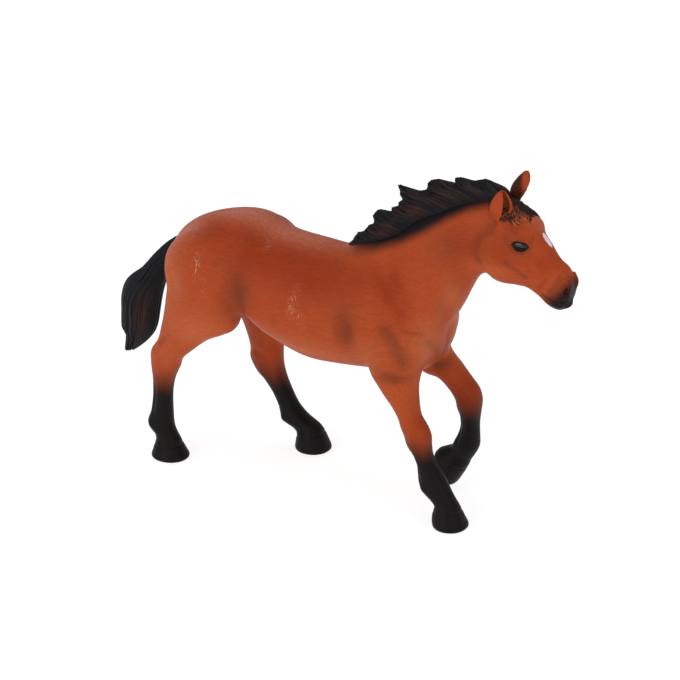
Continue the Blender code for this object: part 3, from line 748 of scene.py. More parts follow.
def makePiece(mesh, name):
    # Caps each cut, with a crease round it so that the skin's shading isn't bent by the cap
    bm = bmesh.new()
    bm.from_mesh(mesh)
    bpy.data.meshes.remove(mesh)
    bmesh.ops.dissolve_degenerate(bm, dist=1e-5, edges=bm.edges)
    rim = [edge for edge in bm.edges if edge.is_boundary]
    for face in bm.faces:
        face.smooth = True
    for edge in rim:
        edge.smooth = False
    caps = bmesh.ops.holes_fill(bm, edges=rim, sides=0)["faces"]
    bmesh.ops.triangulate(bm, faces=caps)
    mesh = bpy.data.meshes.new(name)
    bm.to_mesh(mesh)
    bm.free()
    return addObject(name, mesh)


def splitBody():
    bm = bmesh.new()
    bm.from_mesh(bodySkin.write())
    cutPlane(bm, *neckSeam, clearOuter=True)
    cutPlane(bm, Vector((0, 0, 0)), Vector((0, 0, -1)), clearOuter=True)
    for place, outward, quarter in limbSeams.values():
        faces = []
        for face in bm.faces:
            middle = face.calc_center_median()
            if middle.z < 50 and middle.x * quarter[0] > 0 and middle.y * quarter[1] > 0:
                if abs((middle - place).dot(outward)) < 2:
                    faces.append(face)
        cutPlane(bm, place, outward, faces=faces)
    whole = bpy.data.meshes.new("wholeBody")
    bm.to_mesh(whole)
    bm.free()
    middles = readArray(whole.polygons, "center", float, 3)
    owners = np.full(len(middles), "trunk", dtype=object)
    for name, (place, outward, quarter) in limbSeams.items():
        ours = (middles[:, 0] * quarter[0] > 0) & (middles[:, 1] * quarter[1] > 0) & (middles[:, 2] < 50)
        ours &= (middles - np.array(place)) @ np.array(outward) > 0
        owners[ours] = name
    return {name: makePiece(pickFaces(whole, owners == name, name), name + "Form")
            for name in ("trunk", *limbSeams)}


def splitHead():
    bm = bmesh.new()
    bm.from_mesh(headSkin.write())
    cutPlane(bm, *neckSeam, clearInner=True)
    mesh = bpy.data.meshes.new("headCut")
    bm.to_mesh(mesh)
    bm.free()
    return makePiece(mesh, "headAndNeckForm")


def toLinear(text):
    # sRGB hex to Blender's linear colour
    channels = [int(text[i:i + 2], 16) / 255 for i in (0, 2, 4)]
    return tuple(c / 12.92 if c <= 0.04045 else ((c + 0.055) / 1.055) ** 2.4 for c in channels) + (1.0,)


def addNode(tree, kind, settings, inputs):
    node = tree.nodes.new(kind)
    for name, value in settings.items():
        setattr(node, name, value)
    for key, value in inputs.items():
        if isinstance(value, bpy.types.NodeSocket):
            tree.links.new(value, node.inputs[key])
        else:
            node.inputs[key].default_value = value
    return node


def startMaterial(name):
    material = bpy.data.materials.new(name)
    material.use_nodes = True
    material.node_tree.nodes.clear()
    return material, material.node_tree


def lacquer(tree, finish, inputs):
    # Every paint ends in the same clear film
    film = {"Roughness": finish["roughness"], "IOR": 1.5, **inputs}
    shader = addNode(tree, "ShaderNodeBsdfPrincipled", {}, film).outputs[0]
    addNode(tree, "ShaderNodeOutputMaterial", {}, {"Surface": shader})


coat = {
    "mid": "9C3C16",
    "deep": "862B0A",
    "light": "B25C36",
    # Colour of the painted sheen along the top
    "paintedSheen": "AE6450",
    # Dark brown of the airbrushing and of the painted shade in hollows and creases
    "airbrushAndShade": "4A2818",
    "black": "0B0B0C",
    "blackWarm": "150E0E",
    "star": "E2CDD6",
    "hollow": "854228",
    # Colour of the painted glints and of the sheen's light streaks
    "fleck": "CE957B",
    "roughness": 0.5,
    "specular": 0.10,
    "hairWidth": 0.4,         # mm, the short hair's own grain drawn just coarse enough to show
    "hairRelief": 0.12,       # mm
    "clouding": 13.0,         # mm, the airbrush's own unevenness
    "fleckWidth": 0.42,       # mm
    # A pattern's values from and to, and the brightness or the share of paint that they become
    "shading": (0.3, 0.7, 0.86, 1.12),
    "flecks": (0.52, 0.62, 0.0, 0.55),
    "streaks": (0.54, 0.74, 0.0, 0.5),
}


def satinPaintedPvc():
    # Solid PVC, airbrushed and then matt-lacquered: soft broad highlights and faint combed hair, with painted
    # shade, a painted sheen and painted glints mixed into the colour
    material, tree = startMaterial("satinPaintedPvc")
    place = addNode(tree, "ShaderNodeTexCoord", {}, {}).outputs["Object"]
    masks = {}
    for name in ("deep", "light", "paintedSheen", "airbrushAndShade", "black", "star", "hollow", "fleckGlints"):
        masks[name] = addNode(tree, "ShaderNodeAttribute", {"attribute_name": name}, {}).outputs["Fac"]
    cloud = addNode(
        tree, "ShaderNodeTexNoise", {},
        {"Vector": place, "Scale": 1 / (coat["clouding"] * mm), "Detail": 5.0},
    ).outputs[0]
    combed = addNode(
        tree, "ShaderNodeMapping", {},
        {"Vector": place, "Rotation": (0, math.radians(14), 0), "Scale": (0.16, 0.7, 1.0)},
    ).outputs[0]
    grain = addNode(
        tree, "ShaderNodeTexNoise", {},
        {"Vector": combed, "Scale": 1 / (coat["hairWidth"] * mm), "Detail": 3.0, "Roughness": 0.6},
    ).outputs[0]
    upright = addNode(tree, "ShaderNodeMapping", {}, {"Vector": place, "Scale": (1.0, 1.0, 0.35)}).outputs[0]
    specks = addNode(
        tree, "ShaderNodeTexNoise", {},
        {"Vector": upright, "Scale": 1 / (coat["fleckWidth"] * mm), "Detail": 2.0},
    ).outputs[0]
    layers = [(cloud, "light"), (0.8, "mid")]
    layers += [(masks[name], name) for name in ("deep", "light", "paintedSheen", "airbrushAndShade", "hollow")]
    colour = toLinear(coat["deep"])
    for share, name in layers:
        colour = addNode(
            tree, "ShaderNodeMix", {"data_type": "RGBA"}, {0: share, 6: colour, 7: toLinear(coat[name])},
        ).outputs[2]
    shade = addNode(
        tree, "ShaderNodeMapRange", {}, {"Value": grain, **dict(enumerate(coat["shading"], 1))},
    ).outputs[0]
    colour = addNode(
        tree, "ShaderNodeVectorMath", {"operation": "SCALE"}, {"Vector": colour, "Scale": shade},
    ).outputs[0]
    # Light flecks in a few patches are painted glints
    flecked = addNode(
        tree, "ShaderNodeMapRange", {}, {"Value": specks, **dict(enumerate(coat["flecks"], 1))},
    ).outputs[0]
    flecked = addNode(
        tree, "ShaderNodeMath", {"operation": "MULTIPLY"}, {0: flecked, 1: masks["fleckGlints"]},
    ).outputs[0]
    # The painted sheen is broken into light streaks along the hair's grain
    streaked = addNode(
        tree, "ShaderNodeMapRange", {}, {"Value": grain, **dict(enumerate(coat["streaks"], 1))},
    ).outputs[0]
    streaked = addNode(
        tree, "ShaderNodeMath", {"operation": "MULTIPLY"}, {0: streaked, 1: masks["paintedSheen"]},
    ).outputs[0]
    black = addNode(
        tree, "ShaderNodeMix", {"data_type": "RGBA"},
        {0: cloud, 6: toLinear(coat["black"]), 7: toLinear(coat["blackWarm"])},
    ).outputs[2]
    layers = [(flecked, toLinear(coat["fleck"])), (streaked, toLinear(coat["fleck"])),
              (masks["black"], black), (masks["star"], toLinear(coat["star"]))]
    for share, over in layers:
        colour = addNode(
            tree, "ShaderNodeMix", {"data_type": "RGBA"}, {0: share, 6: colour, 7: over},
        ).outputs[2]
    bump = addNode(
        tree, "ShaderNodeBump", {}, {"Strength": 0.5, "Distance": coat["hairRelief"] * mm, "Height": grain},
    ).outputs[0]
    lacquer(tree, coat, {"Base Color": colour, "Specular IOR Level": coat["specular"], "Normal": bump})
    return material


hairPaint = {
    "black": "0A0C11",
    "brown": "3E2117",
    "tan": "A2502A",
    "roughness": 0.5,
    "specular": 0.14,
    "patch": 4.8,             # mm
}


def satinHairPaint():
    # The same lacquer over black, with brown along the ridges, partly dry-brushed paint and partly painted
    # glints, and tan on the forelock's tips
    material, tree = startMaterial("satinHairPaint")
    place = addNode(tree, "ShaderNodeTexCoord", {}, {}).outputs["Object"]
    glint = addNode(tree, "ShaderNodeAttribute", {"attribute_name": "glint"}, {}).outputs["Fac"]
    cloud = addNode(
        tree, "ShaderNodeTexNoise", {},
        {"Vector": place, "Scale": 1 / (hairPaint["patch"] * mm), "Detail": 3.0},
    ).outputs[0]
    patchy = addNode(
        tree, "ShaderNodeMapRange", {}, {"Value": cloud, 1: 0.35, 2: 0.62, 3: 0.5, 4: 1.0},
    ).outputs[0]
    brushed = addNode(tree, "ShaderNodeMath", {"operation": "MULTIPLY"}, {0: glint, 1: patchy}).outputs[0]
    tones = addNode(tree, "ShaderNodeValToRGB", {}, {"Fac": brushed})
    steps = tones.color_ramp.elements
    steps[0].color = toLinear(hairPaint["black"])
    steps[1].color = toLinear(hairPaint["tan"])
    steps.new(0.5).color = toLinear(hairPaint["brown"])
    lacquer(tree, hairPaint, {"Base Color": tones.outputs[0], "Specular IOR Level": hairPaint["specular"]})
    return material


eyePaint = {
    "rim": "050505",
    "iris": "10181F",
    "roughness": 0.12,
}


def glossEyePaint():
    # Gloss enamel under clear varnish: a dark ball with a blue-grey bloom and one sharp highlight
    material, tree = startMaterial("glossEyePaint")
    iris = addNode(tree, "ShaderNodeAttribute", {"attribute_name": "iris"}, {}).outputs["Fac"]
    colour = addNode(
        tree, "ShaderNodeMix", {"data_type": "RGBA"},
        {0: iris, 6: toLinear(eyePaint["rim"]), 7: toLinear(eyePaint["iris"])},
    ).outputs[2]
    lacquer(tree, eyePaint, {"Base Color": colour})
    return material


# Where the black stockings begin and are full, as heights in mm
stockings = {
    "right_foreleg": (31.0, 19.2),
    "left_foreleg": (39.0, 24.5),
    "right_hind_leg": (34.4, 20.6),
    "left_hind_leg": (32.8, 18.6),
}
# Soft clouds of paint: x, y, z of the middle, half sizes along each, and strength, on both sides
clouds = {
    # Dark airbrushing on the flank, and painted shade in the hollows: behind the elbow and the jaw, across
    # the forearm, under the throat, behind the eye and between the forelegs
    "airbrushAndShade": [
        (-26.2, 18.0, 62.8, 5.0, 9.0, 9.0, 0.62),     # flank
        (-29.0, 16.0, 56.0, 4.5, 9.0, 5.5, 0.25),
        (12.0, 17.5, 57.5, 4.0, 8.0, 7.0, 0.55),      # elbow
        (9.6, 17.5, 63.5, 4.0, 8.0, 5.0, 0.2),
        (28.0, 17.0, 56.8, 4.6, 7.0, 5.8, 0.15),      # forearm
        (28.4, 18.5, 46.4, 6.4, 7.0, 2.3, 0.55),      # crease across the forearm
        (40.3, 6.8, 67.0, 2.6, 4.5, 8.5, 0.12),       # throat
        (43.5, 6.0, 76.0, 3.0, 5.0, 6.0, 0.15),
        (41.0, 7.0, 87.0, 9.0, 6.0, 8.0, 0.22),       # neck
        (41.0, 8.0, 36.5, 5.0, 8.0, 4.0, 0.1),        # left knee
        (60.4, 6.0, 93.4, 2.2, 3.0, 2.6, 0.3),        # behind the eye
        (33.4, 3.0, 43.8, 3.2, 6.0, 2.4, 0.6),        # between the forelegs
        (54.2, 5.0, 95.4, 3.0, 4.0, 3.0, 0.35),       # behind the jaw
        (50.6, 6.0, 90.6, 1.6, 4.0, 3.6, 0.42),
        (64.2, 6.0, 97.2, 2.6, 3.0, 1.6, 0.25),
    ],
    # Darker red-brown airbrushing
    "deep": [
        (-38.0, 10.0, 78.2, 13.0, 6.0, 5.0, 0.75),
        (-25.0, 9.5, 78.6, 10.0, 6.0, 5.0, 0.7),
        (-12.0, 9.5, 75.2, 12.0, 6.0, 4.5, 0.7),
        (0.0, 8.5, 74.6, 12.0, 7.0, 4.5, 0.6),
        (-24.0, 15.0, 73.5, 17.0, 12.0, 6.5, 0.75),
        (-3.0, 15.5, 71.0, 20.0, 10.0, 8.5, 0.8),
        (14.0, 12.0, 73.0, 12.0, 9.0, 7.0, 0.5),
        (24.5, 12.5, 74.0, 4.5, 7.0, 8.0, 0.75),
        (29.5, 15.0, 66.5, 3.4, 6.0, 5.0, 0.7),
        (41.0, 8.0, 34.0, 7.0, 8.0, 9.0, 0.75),
        (-34.0, 12.0, 31.0, 8.0, 8.0, 9.0, 0.6),
        (46.0, 7.0, 90.0, 10.0, 6.0, 8.0, 0.6),
        (58.5, 6.5, 89.0, 6.0, 5.0, 7.0, 0.5),
        (59.8, 6.0, 86.0, 3.0, 4.0, 2.2, 0.4),
        (61.6, 6.0, 97.4, 4.0, 4.0, 2.6, 0.6),
        (72.0, 3.5, 87.0, 5.0, 4.0, 4.0, 0.45),
        (35.6, 14.0, 28.0, 4.0, 6.0, 6.0, 0.5),
    ],
    # Lighter towards the underside: belly, breast, throat, jaw and lower legs
    "light": [
        (-51.0, 14.0, 62.0, 7.0, 10.0, 14.0, 0.65),
        (-42.0, 16.0, 47.0, 14.0, 9.0, 9.0, 0.7),
        (-4.0, 15.0, 47.5, 26.0, 10.0, 8.5, 0.55),
        (20.0, 16.0, 50.0, 8.0, 8.0, 9.0, 0.4),
        (35.5, 10.0, 55.0, 6.0, 8.0, 12.0, 0.9),
        (42.5, 7.0, 70.0, 4.0, 5.0, 9.0, 0.7),
        (30.0, 14.5, 38.0, 6.0, 7.0, 7.0, 0.3),
        (-53.0, 14.0, 36.0, 8.0, 8.0, 7.0, 0.45),
        (55.0, 6.0, 82.0, 8.0, 5.0, 4.0, 0.5),
    ],
    # Painted sheen: lighter paint along the top of the back and croup, over the rump and on the brow,
    # standing in for a highlight
    "paintedSheen": [
        (-36.0, 0.5, 84.0, 19.0, 7.5, 3.8, 0.75),
        (-12.0, 0.5, 80.0, 19.0, 7.5, 3.6, 0.5),
        (-54.0, 9.0, 73.0, 7.0, 9.0, 9.0, 0.7),
        (-50.0, 8.0, 76.5, 8.0, 8.0, 6.0, 0.8),
        (66.5, 0.0, 98.0, 2.6, 3.0, 3.4, 0.35),
    ],
    # Painted glints: patches of light flecks on the flank and back, standing in for highlights on the hair's
    # relief
    "fleckGlints": [
        (-40.4, 18.5, 69.8, 1.6, 5.0, 4.4, 1.0),
        (-37.6, 19.5, 63.2, 1.2, 5.0, 2.6, 0.6),
        (-6.4, 18.2, 63.6, 1.8, 5.0, 5.0, 1.0),
        (-3.2, 19.0, 59.6, 1.2, 5.0, 2.6, 0.7),
        (-20.4, 9.0, 77.3, 1.0, 4.0, 2.6, 0.6),
    ],
}


# Painted shade in the creases, laid like a dark wash: places in the side view, half width in mm and strength
creaseShading = [
    ([(56.6, 98.6), (53.6, 94.6), (50.6, 90.8), (49.8, 87.0), (51.2, 84.0)], 0.9, 0.42),   # behind the jaw
    ([(60.9, 91.8), (62.4, 90.2), (64.6, 89.5), (66.8, 90.2)], 0.45, 0.5),   # under the eye
    ([(59.8, 85.8), (62.6, 84.2), (66.0, 82.0)], 0.9, 0.3),                  # under the cheek bone
    ([(71.0, 76.9), (73.2, 76.1), (75.6, 75.6), (78.0, 75.7), (79.6, 77.0)], 0.4, 0.85),   # mouth
    ([(73.6, 78.6), (75.0, 80.6), (76.2, 83.4)], 0.7, 0.3),
    ([(70.4, 78.6), (71.2, 80.4), (72.4, 82.0)], 0.6, 0.25),
    ([(21.0, 44.4), (27.5, 46.8), (33.0, 46.8)], 0.7, 0.35),                 # across the forearm
    ([(36.4, 57.0), (36.8, 52.5), (35.4, 48.0)], 0.8, 0.35),                 # breast
    ([(-52.5, 43.5), (-56.0, 39.5)], 0.9, 0.25),
    ([(-24.0, 70.0), (-26.6, 63.5), (-29.6, 55.5)], 1.6, 0.2),               # flank
    ([(25.0, 60.3), (28.0, 56.4), (31.5, 51.4)], 2.3, 0.42),                 # forearm
]


def creaseShadeMask(points, table):
    total = np.zeros(len(points))
    for places, half, strength in table:
        line = alongLine(smoothRows(places, 6))(np.linspace(0, 1, 40))
        away = np.full(len(points), np.inf)
        for x, z in line:
            away = np.minimum(away, (points[:, 0] - x) ** 2 + (points[:, 2] - z) ** 2)
        total = np.maximum(total, strength * np.exp(-away / half ** 2))
    return total * np.clip(np.abs(points[:, 1]) / 1.0, 0, 1)


def cloudMask(points, table):
    total = np.zeros(len(points))
    for x, y, z, along, across, up, strength in table:
        for side in (-1, 1):
            away = ((points[:, 0] - x) / along) ** 2 + ((points[:, 2] - z) / up) ** 2
            away += ((points[:, 1] - side * y) / across) ** 2
            total = 1 - (1 - total) * (1 - strength * np.exp(-1.6 * away))
    return total


# The middle of the soft lower edge of the black band along the crest, in the side view
band = {
    "line": [(0.0, 80.5), (4.0, 79.2), (9.0, 79.7), (14.9, 81.0), (24.2, 85.1), (31.4, 89.6), (38.5, 94.6),
             (45.6, 98.8), (52.3, 101.6), (60.0, 104.5)],
    "soft": 1.9,              # mm either way
}


# Painted marks of the head, in mm
facePaint = {
    "muzzle": (77.0, 79.5, -3.2, 2.2),    # x and z of the dark edge, and where it begins and is full
    "star": (0.3, 93.0, 1.1, 1.9),        # y and z of its middle, half width and half height
    "nostril": (79.0, 79.5, 1.4, 1.7),    # painted shade in the nostril: x and z of its middle, half length and half height
    "halo": (4.2, 3.0),                   # half length and half height of the painted shade round an eye
    # Border of the far ear's dark half: share of the ear's height, and radii from its middle to the back
    "earBorder": [(0.3, -1.2), (0.5, -0.5), (0.7, 0.0), (0.85, 0.35), (1.0, 1.0)],
}


def muzzlePaint(x, z):
    edgeX, edgeZ, begin, full = facePaint["muzzle"]
    return 0.97 * ramp((x - edgeX) * 0.7 - (z - edgeZ) * 0.71, begin, full)


def starPaint(x, y, z):
    middleY, middleZ, wide, tall = facePaint["star"]
    spot = ((z - middleZ) / tall) ** 2 + ((y - middleY) / wide) ** 2
    return ramp(spot, 1.2, 0.85) * (x > 66)


# Painted shade in the nostril's hollow
def nostrilShade(x, y, z):
    middleX, middleZ, long, tall = facePaint["nostril"]
    return 0.85 * np.exp(-((x - middleX) / long) ** 2 - ((z - middleZ) / tall) ** 2) * (np.abs(y) > 1.2)


def eyeSurround(p, side):
    # The black rim round an eye and the painted shade beyond it
    middle, along, out, up = eyeFrame(side)
    rel = p - middle
    u = rel @ along / (eye["long"] * 1.02)
    v = np.abs(rel @ up) / (np.maximum(almond(u), 0.05) * eye["tall"])
    close = (np.abs(rel @ out) < 3) & (np.abs(u) < 1.35)
    edge = np.where(np.abs(u) < 1, v, 1 + (np.abs(u) - 1) * 6 + np.abs(rel @ up))
    long, tall = facePaint["halo"]
    halo = np.exp(-((rel @ along) / long) ** 2 - ((rel @ up) / tall) ** 2)
    return 0.95 * ramp(edge, 1.5, 1.15) * close, 0.5 * halo * close


def earPaint(x, y, z, side):
    # The cup's brown hollow, and on the far ear the purple-brown half that faces the mane
    base, tip = np.array(ear["base"][side]), np.array(ear["tip"][side])
    t = np.clip((z - base[2]) / (tip[2] - base[2]), 0, 1)
    core = base + t[:, None] * (tip - base)
    radius = np.interp(t, *zip(*ear["radii"][side]))
    away = np.hypot(x - core[:, 0], y - core[:, 1]) / radius
    inside = ramp(away, 0.95, 0.70) * ramp(z, 98.0, 99.5) * ramp(t, 1.0, 0.75)
    back = (-0.87 * (x - core[:, 0]) - 0.49 * side * (y - core[:, 1])) / radius
    back = back - np.interp(t, *zip(*facePaint["earBorder"]))
    dark = ramp(back, -0.35, 0.35) * ramp(z, 98.5, 101.0) * (away < 1.6)
    return inside, 0.86 * dark * (side * y > 0) * (side > 0)


def paintMasks(piece, name):
    mesh = piece.data
    p = readArray(mesh.vertices, "co", float, 3)
    x, y, z = p.T
    masks = {key: cloudMask(p, table) for key, table in clouds.items()}
    # Painted shade in the creases joins the other shade
    masks["airbrushAndShade"] = np.maximum(masks["airbrushAndShade"], creaseShadeMask(p, creaseShading))
    black = np.zeros(len(p))
    hollow = np.zeros(len(p))
    star = np.zeros(len(p))
    if name in stockings:
        top, full = stockings[name]
        drift = 0.35 * np.sin(0.7 * x + 1.1 * y) + 0.25 * np.sin(1.9 * y - 0.6 * x)
        black = ramp(z + drift, top, full)
        masks["light"] = masks["light"] * (1 - black)
    if name in ("head_and_neck", "trunk"):
        above = (z - np.interp(x, *zip(*band["line"]))) * 0.87
        black = ramp(above, -band["soft"], band["soft"]) * ramp(x, 2.0, 9.0) * (x < 62)
    if name == "head_and_neck":
        black *= 1 - ramp(x, 53.0, 55.5) * ramp(np.abs(y), 1.8, 3.0)
        blacks = [black, muzzlePaint(x, z), nostrilShade(x, y, z)]
        star = starPaint(x, y, z)
        for side in (-1, 1):
            rim, halo = eyeSurround(p, side)
            inside, back = earPaint(x, y, z, side)
            blacks += [rim, back]
            # Painted shade round each eye
            masks["airbrushAndShade"] = np.maximum(masks["airbrushAndShade"], halo)
            hollow = np.maximum(hollow, inside)
        black = np.max(blacks, axis=0)
    masks.update(black=black, hollow=hollow, star=star)
    for mask, values in masks.items():
        writeLayer(mesh, mask, values)


def placePiece(piece, material, slot, *nodes):
    piece.data.transform(Matrix.Diagonal((mm, mm, mm, 1)) @ Matrix.Translation(drawingShift))
    if not piece.data.materials:
        piece.data.materials.append(material)
    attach(piece, "root")
    if nodes:
        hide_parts(*nodes)


def makeEye(side, material):
    # A lens with almond corners, set in the socket so that only its front shows
    middle, along, out, up = eyeFrame(side)
    middle = middle - out * (eye["bulge"] - eye["proud"])
    bm = bmesh.new()
    bmesh.ops.create_uvsphere(bm, u_segments=36, v_segments=24, radius=1)
    iris = []
    for vert in bm.verts:
        u, w, v = vert.co
        height = v * eye["tall"] * (0.35 + 0.65 * almond(u))
        iris.append(math.exp(-((u + 0.15) / 0.5) ** 4 - ((v - 0.05) / 0.62) ** 4) * (w > 0))
        vert.co = Vector(middle + along * u * eye["long"] + out * w * eye["bulge"] + up * height)
    for face in bm.faces:
        face.smooth = True
    bm.normal_update()
    bmesh.ops.recalc_face_normals(bm, faces=bm.faces)
    name = "leftEye" if side > 0 else "rightEye"
    mesh = bpy.data.meshes.new(name)
    bm.to_mesh(mesh)
    bm.free()
    writeLayer(mesh, "iris", iris)
    piece = addObject(name, mesh)
    placePiece(piece, material, "eye_paint")


paint = satinPaintedPvc()
pieces = splitBody()
pieces["head_and_neck"] = splitHead()
for name, piece in pieces.items():
    paintMasks(piece, name)
    placePiece(piece, paint, "coat_paint", name)
    print(name, countTriangles(piece.data), "triangles")
eyeFinish = glossEyePaint()
for side in (-1, 1):
    makeEye(side, eyeFinish)
print("eyes set")

hair = {
    "voxel": 0.34,            # mm
    "taperAt": (0.0, 0.12, 0.35, 0.65, 0.88, 1.0),
    "taper": (0.55, 0.85, 1.0, 0.85, 0.6),    # and then the tip's own share
    "sides": 6,
}


def strandTree(material):
    # Turns guide lines into tapered strands: a line's own thickness share times the radius, varied by strand
    tree = bpy.data.node_groups.new("mouldedStrands", "GeometryNodeTree")
    kinds = [("Guides", "Geometry"), ("Strand radius", "Float"), ("Least share", "Float"),
             ("Greatest share", "Float"), ("Sides", "Int"), ("Seed", "Int")]
    for name, kind in kinds:
        tree.interface.new_socket(name, in_out="INPUT", socket_type="NodeSocket" + kind)
    tree.interface.new_socket("Strands", in_out="OUTPUT", socket_type="NodeSocketGeometry")
    given = addNode(tree, "NodeGroupInput", {}, {}).outputs
    curve = addNode(tree, "GeometryNodeMeshToCurve", {}, {"Mesh": given["Guides"]}).outputs[0]
    vary = addNode(
        tree, "FunctionNodeRandomValue", {"data_type": "FLOAT"},
        {2: given["Least share"], 3: given["Greatest share"], "Seed": given["Seed"]},
    ).outputs[1]
    vary = addNode(
        tree, "GeometryNodeFieldOnDomain", {"data_type": "FLOAT", "domain": "CURVE"}, {0: vary},
    ).outputs[0]
    taper = addNode(
        tree, "GeometryNodeInputNamedAttribute", {"data_type": "FLOAT"}, {"Name": "thickness"},
    ).outputs[0]
    size = addNode(tree, "ShaderNodeMath", {"operation": "MULTIPLY"}, {0: taper, 1: vary}).outputs[0]
    size = addNode(
        tree, "ShaderNodeMath", {"operation": "MULTIPLY"}, {0: size, 1: given["Strand radius"]},
    ).outputs[0]
    profile = addNode(
        tree, "GeometryNodeCurvePrimitiveCircle", {}, {"Resolution": given["Sides"], "Radius": 1.0},
    ).outputs[0]
    tubes = addNode(
        tree, "GeometryNodeCurveToMesh", {},
        {"Curve": curve, "Profile Curve": profile, "Scale": size, "Fill Caps": True},
    ).outputs[0]
    tubes = addNode(tree, "GeometryNodeSetShadeSmooth", {}, {0: tubes}).outputs[0]
    tubes = addNode(tree, "GeometryNodeRealizeInstances", {}, {0: tubes}).outputs[0]
    tubes = addNode(tree, "GeometryNodeSetMaterial", {}, {0: tubes, "Material": material}).outputs[0]
    addNode(tree, "NodeGroupOutput", {}, {0: tubes})
    return tree


def growStrands(name, guides, tree, radius, spread, tip, seed):
    # Guides are pairs of points and glint; the result is a plain mesh of closed strands
    counts = [len(points) for points, glint in guides]
    first = np.cumsum(counts) - counts
    edges = np.concatenate([[(a + i, a + i + 1) for i in range(n - 1)] for a, n in zip(first, counts)])
    mesh = bpy.data.meshes.new(name + "Guides")
    mesh.from_pydata(np.concatenate([points for points, glint in guides]).tolist(), edges.tolist(), [])
    shares = hair["taper"] + (tip,)
    taper = np.concatenate([np.interp(np.linspace(0, 1, n), hair["taperAt"], shares) for n in counts])
    writeLayer(mesh, "thickness", taper)
    writeLayer(mesh, "glint", np.concatenate([glint for points, glint in guides]))
    grower = addObject(name + "Guides", mesh)
    modifier = grower.modifiers.new("strands", "NODES")
    modifier.node_group = tree
    sockets = {item.name: item.identifier for item in tree.interface.items_tree}
    modifier[sockets["Strand radius"]] = radius
    modifier[sockets["Least share"]] = spread[0]
    modifier[sockets["Greatest share"]] = spread[1]
    modifier[sockets["Sides"]] = hair["sides"]
    modifier[sockets["Seed"]] = seed
    bpy.context.view_layer.update()
    graph = bpy.context.evaluated_depsgraph_get()
    strands = bpy.data.meshes.new_from_object(grower.evaluated_get(graph))
    bpy.data.objects.remove(grower)
    bpy.data.meshes.remove(mesh)
    strands.name = name
    piece = addObject(name, strands)
    print(name, len(guides), "strands,", countTriangles(strands), "triangles")
    return piece


mane = {
    # Where the hair leaves the neck, just under the upper edge of the black band
    "roots": [(1.5, 77.6), (4.0, 78.2), (8.0, 79.4), (14.4, 82.2), (19.9, 85.6), (27.3, 92.0), (34.4, 96.2),
              (41.6, 100.4), (48.5, 103.0), (52.2, 104.0), (57.0, 103.6)],
    # The flame-like upper edge from the withers to the poll
    "edge": [(2.7, 79.0), (4.0, 80.2), (6.2, 83.6), (8.2, 84.2), (10.1, 86.8), (11.8, 87.5), (11.8, 88.6),
             (11.2, 89.9), (13.3, 92.5), (15.7, 92.2), (18.1, 92.6), (17.6, 93.7), (19.3, 94.4), (20.3, 94.8),
             (20.2, 95.8), (21.7, 97.1), (20.7, 98.2), (20.7, 99.5), (20.0, 101.1), (20.5, 101.7),
             (21.5, 101.8), (23.1, 100.8), (26.7, 100.8), (29.8, 101.7), (30.3, 104.2), (31.7, 105.3),
             (33.6, 105.9), (37.8, 105.3), (39.4, 105.2), (39.3, 107.3), (40.7, 107.7), (44.4, 106.6),
             (45.2, 107.3), (47.0, 107.9), (49.5, 108.7), (51.6, 107.3), (53.4, 105.5), (55.4, 103.7)],
    "sweep": 50.0,            # degrees that the hair leans back from the crest's perpendicular
    "arch": 0.10,             # how far each strand bows away from a straight line, as a share of its length
    "flick": 0.06,            # how far its tip turns up again
    "half": 2.5,              # half thickness at the roots
    "sunk": 2.2,              # mm that the core reaches below the roots
    "columns": 260,
    "rows": 10,
    "clumps": 34,
    "perClump": 6,
    "radius": 0.42,
    "swell": 0.75,            # mm that a clump's middle stands out from its sides
    "steps": 9,
    "seed": 7,
}


def maneColumns():
    # Pairs each place on the upper edge with the root that its hair grows from
    edge = alongLine(mane["edge"])
    root = alongLine(smoothRows(mane["roots"], 6))
    shares = np.linspace(0, 1, mane["columns"])
    ends = edge(shares)
    rootLine = root(np.linspace(0, 1, 400))
    reach = 15
    padded = np.vstack([np.repeat(ends[:1], reach, 0), ends, np.repeat(ends[-1:], reach, 0)])
    steady = np.array([padded[i:i + 2 * reach + 1].mean(0) for i in range(len(ends))])
    along = (rootLine[-1] - rootLine[0]) / np.linalg.norm(rootLine[-1] - rootLine[0])
    lean = math.radians(90 + mane["sweep"])
    across = np.array([-along[0] * math.sin(lean) - along[1] * math.cos(lean),
                       along[0] * math.cos(lean) - along[1] * math.sin(lean)])
    rootShares = [np.argmin(np.abs((rootLine - place) @ across)) / (len(rootLine) - 1) for place in steady]
    return ends, root(np.maximum.accumulate(rootShares)), along


def manePath(root, end, h):
    # A strand's line in the side view: out of the crest, swept back, and up again at the tip
    up = np.array([0.0, 1.0])
    tall = np.linalg.norm(end - root)
    bend = (root + end) / 2 + up * tall * mane["arch"]
    h = np.asarray(h, float)[:, None]
    line = (1 - h) ** 2 * root + 2 * h * (1 - h) * bend + h ** 2 * end
    return line - up * tall * mane["flick"] * np.sin(math.pi * np.clip(h * 1.6 - 0.6, 0, 1)), tall


def maneHalf(h, tall):
    return mane["half"] * min(1.0, tall / 8) * np.clip(1 - np.asarray(h) ** 2.0, 0, 1) ** 0.8


def makeManeCore():
    ends, roots, along = maneColumns()
    up = np.array([-along[1], along[0]])
    hs = np.linspace(0, 1, mane["rows"])
    form = bmesh.new()
    rings = []
    for end, root in zip(ends, roots):
        path, tall = manePath(root, end, hs)
        path = np.vstack([root - up * mane["sunk"], path])
        thick = np.concatenate([[mane["half"] * 0.8], maneHalf(hs, tall)])
        near = [Vector((x, -t, z)) for (x, z), t in zip(path[:-1], thick[:-1])]
        far = [Vector((x, t, z)) for (x, z), t in zip(path[-2::-1], thick[-2::-1])]
        rings.append(near + [Vector((path[-1][0], 0, path[-1][1]))] + far)
    addTube(form, rings)
    skin = Skin(fuse("maneCore", form, hair["voxel"]), hair["voxel"])
    skin.relax(0.3)
    return skin


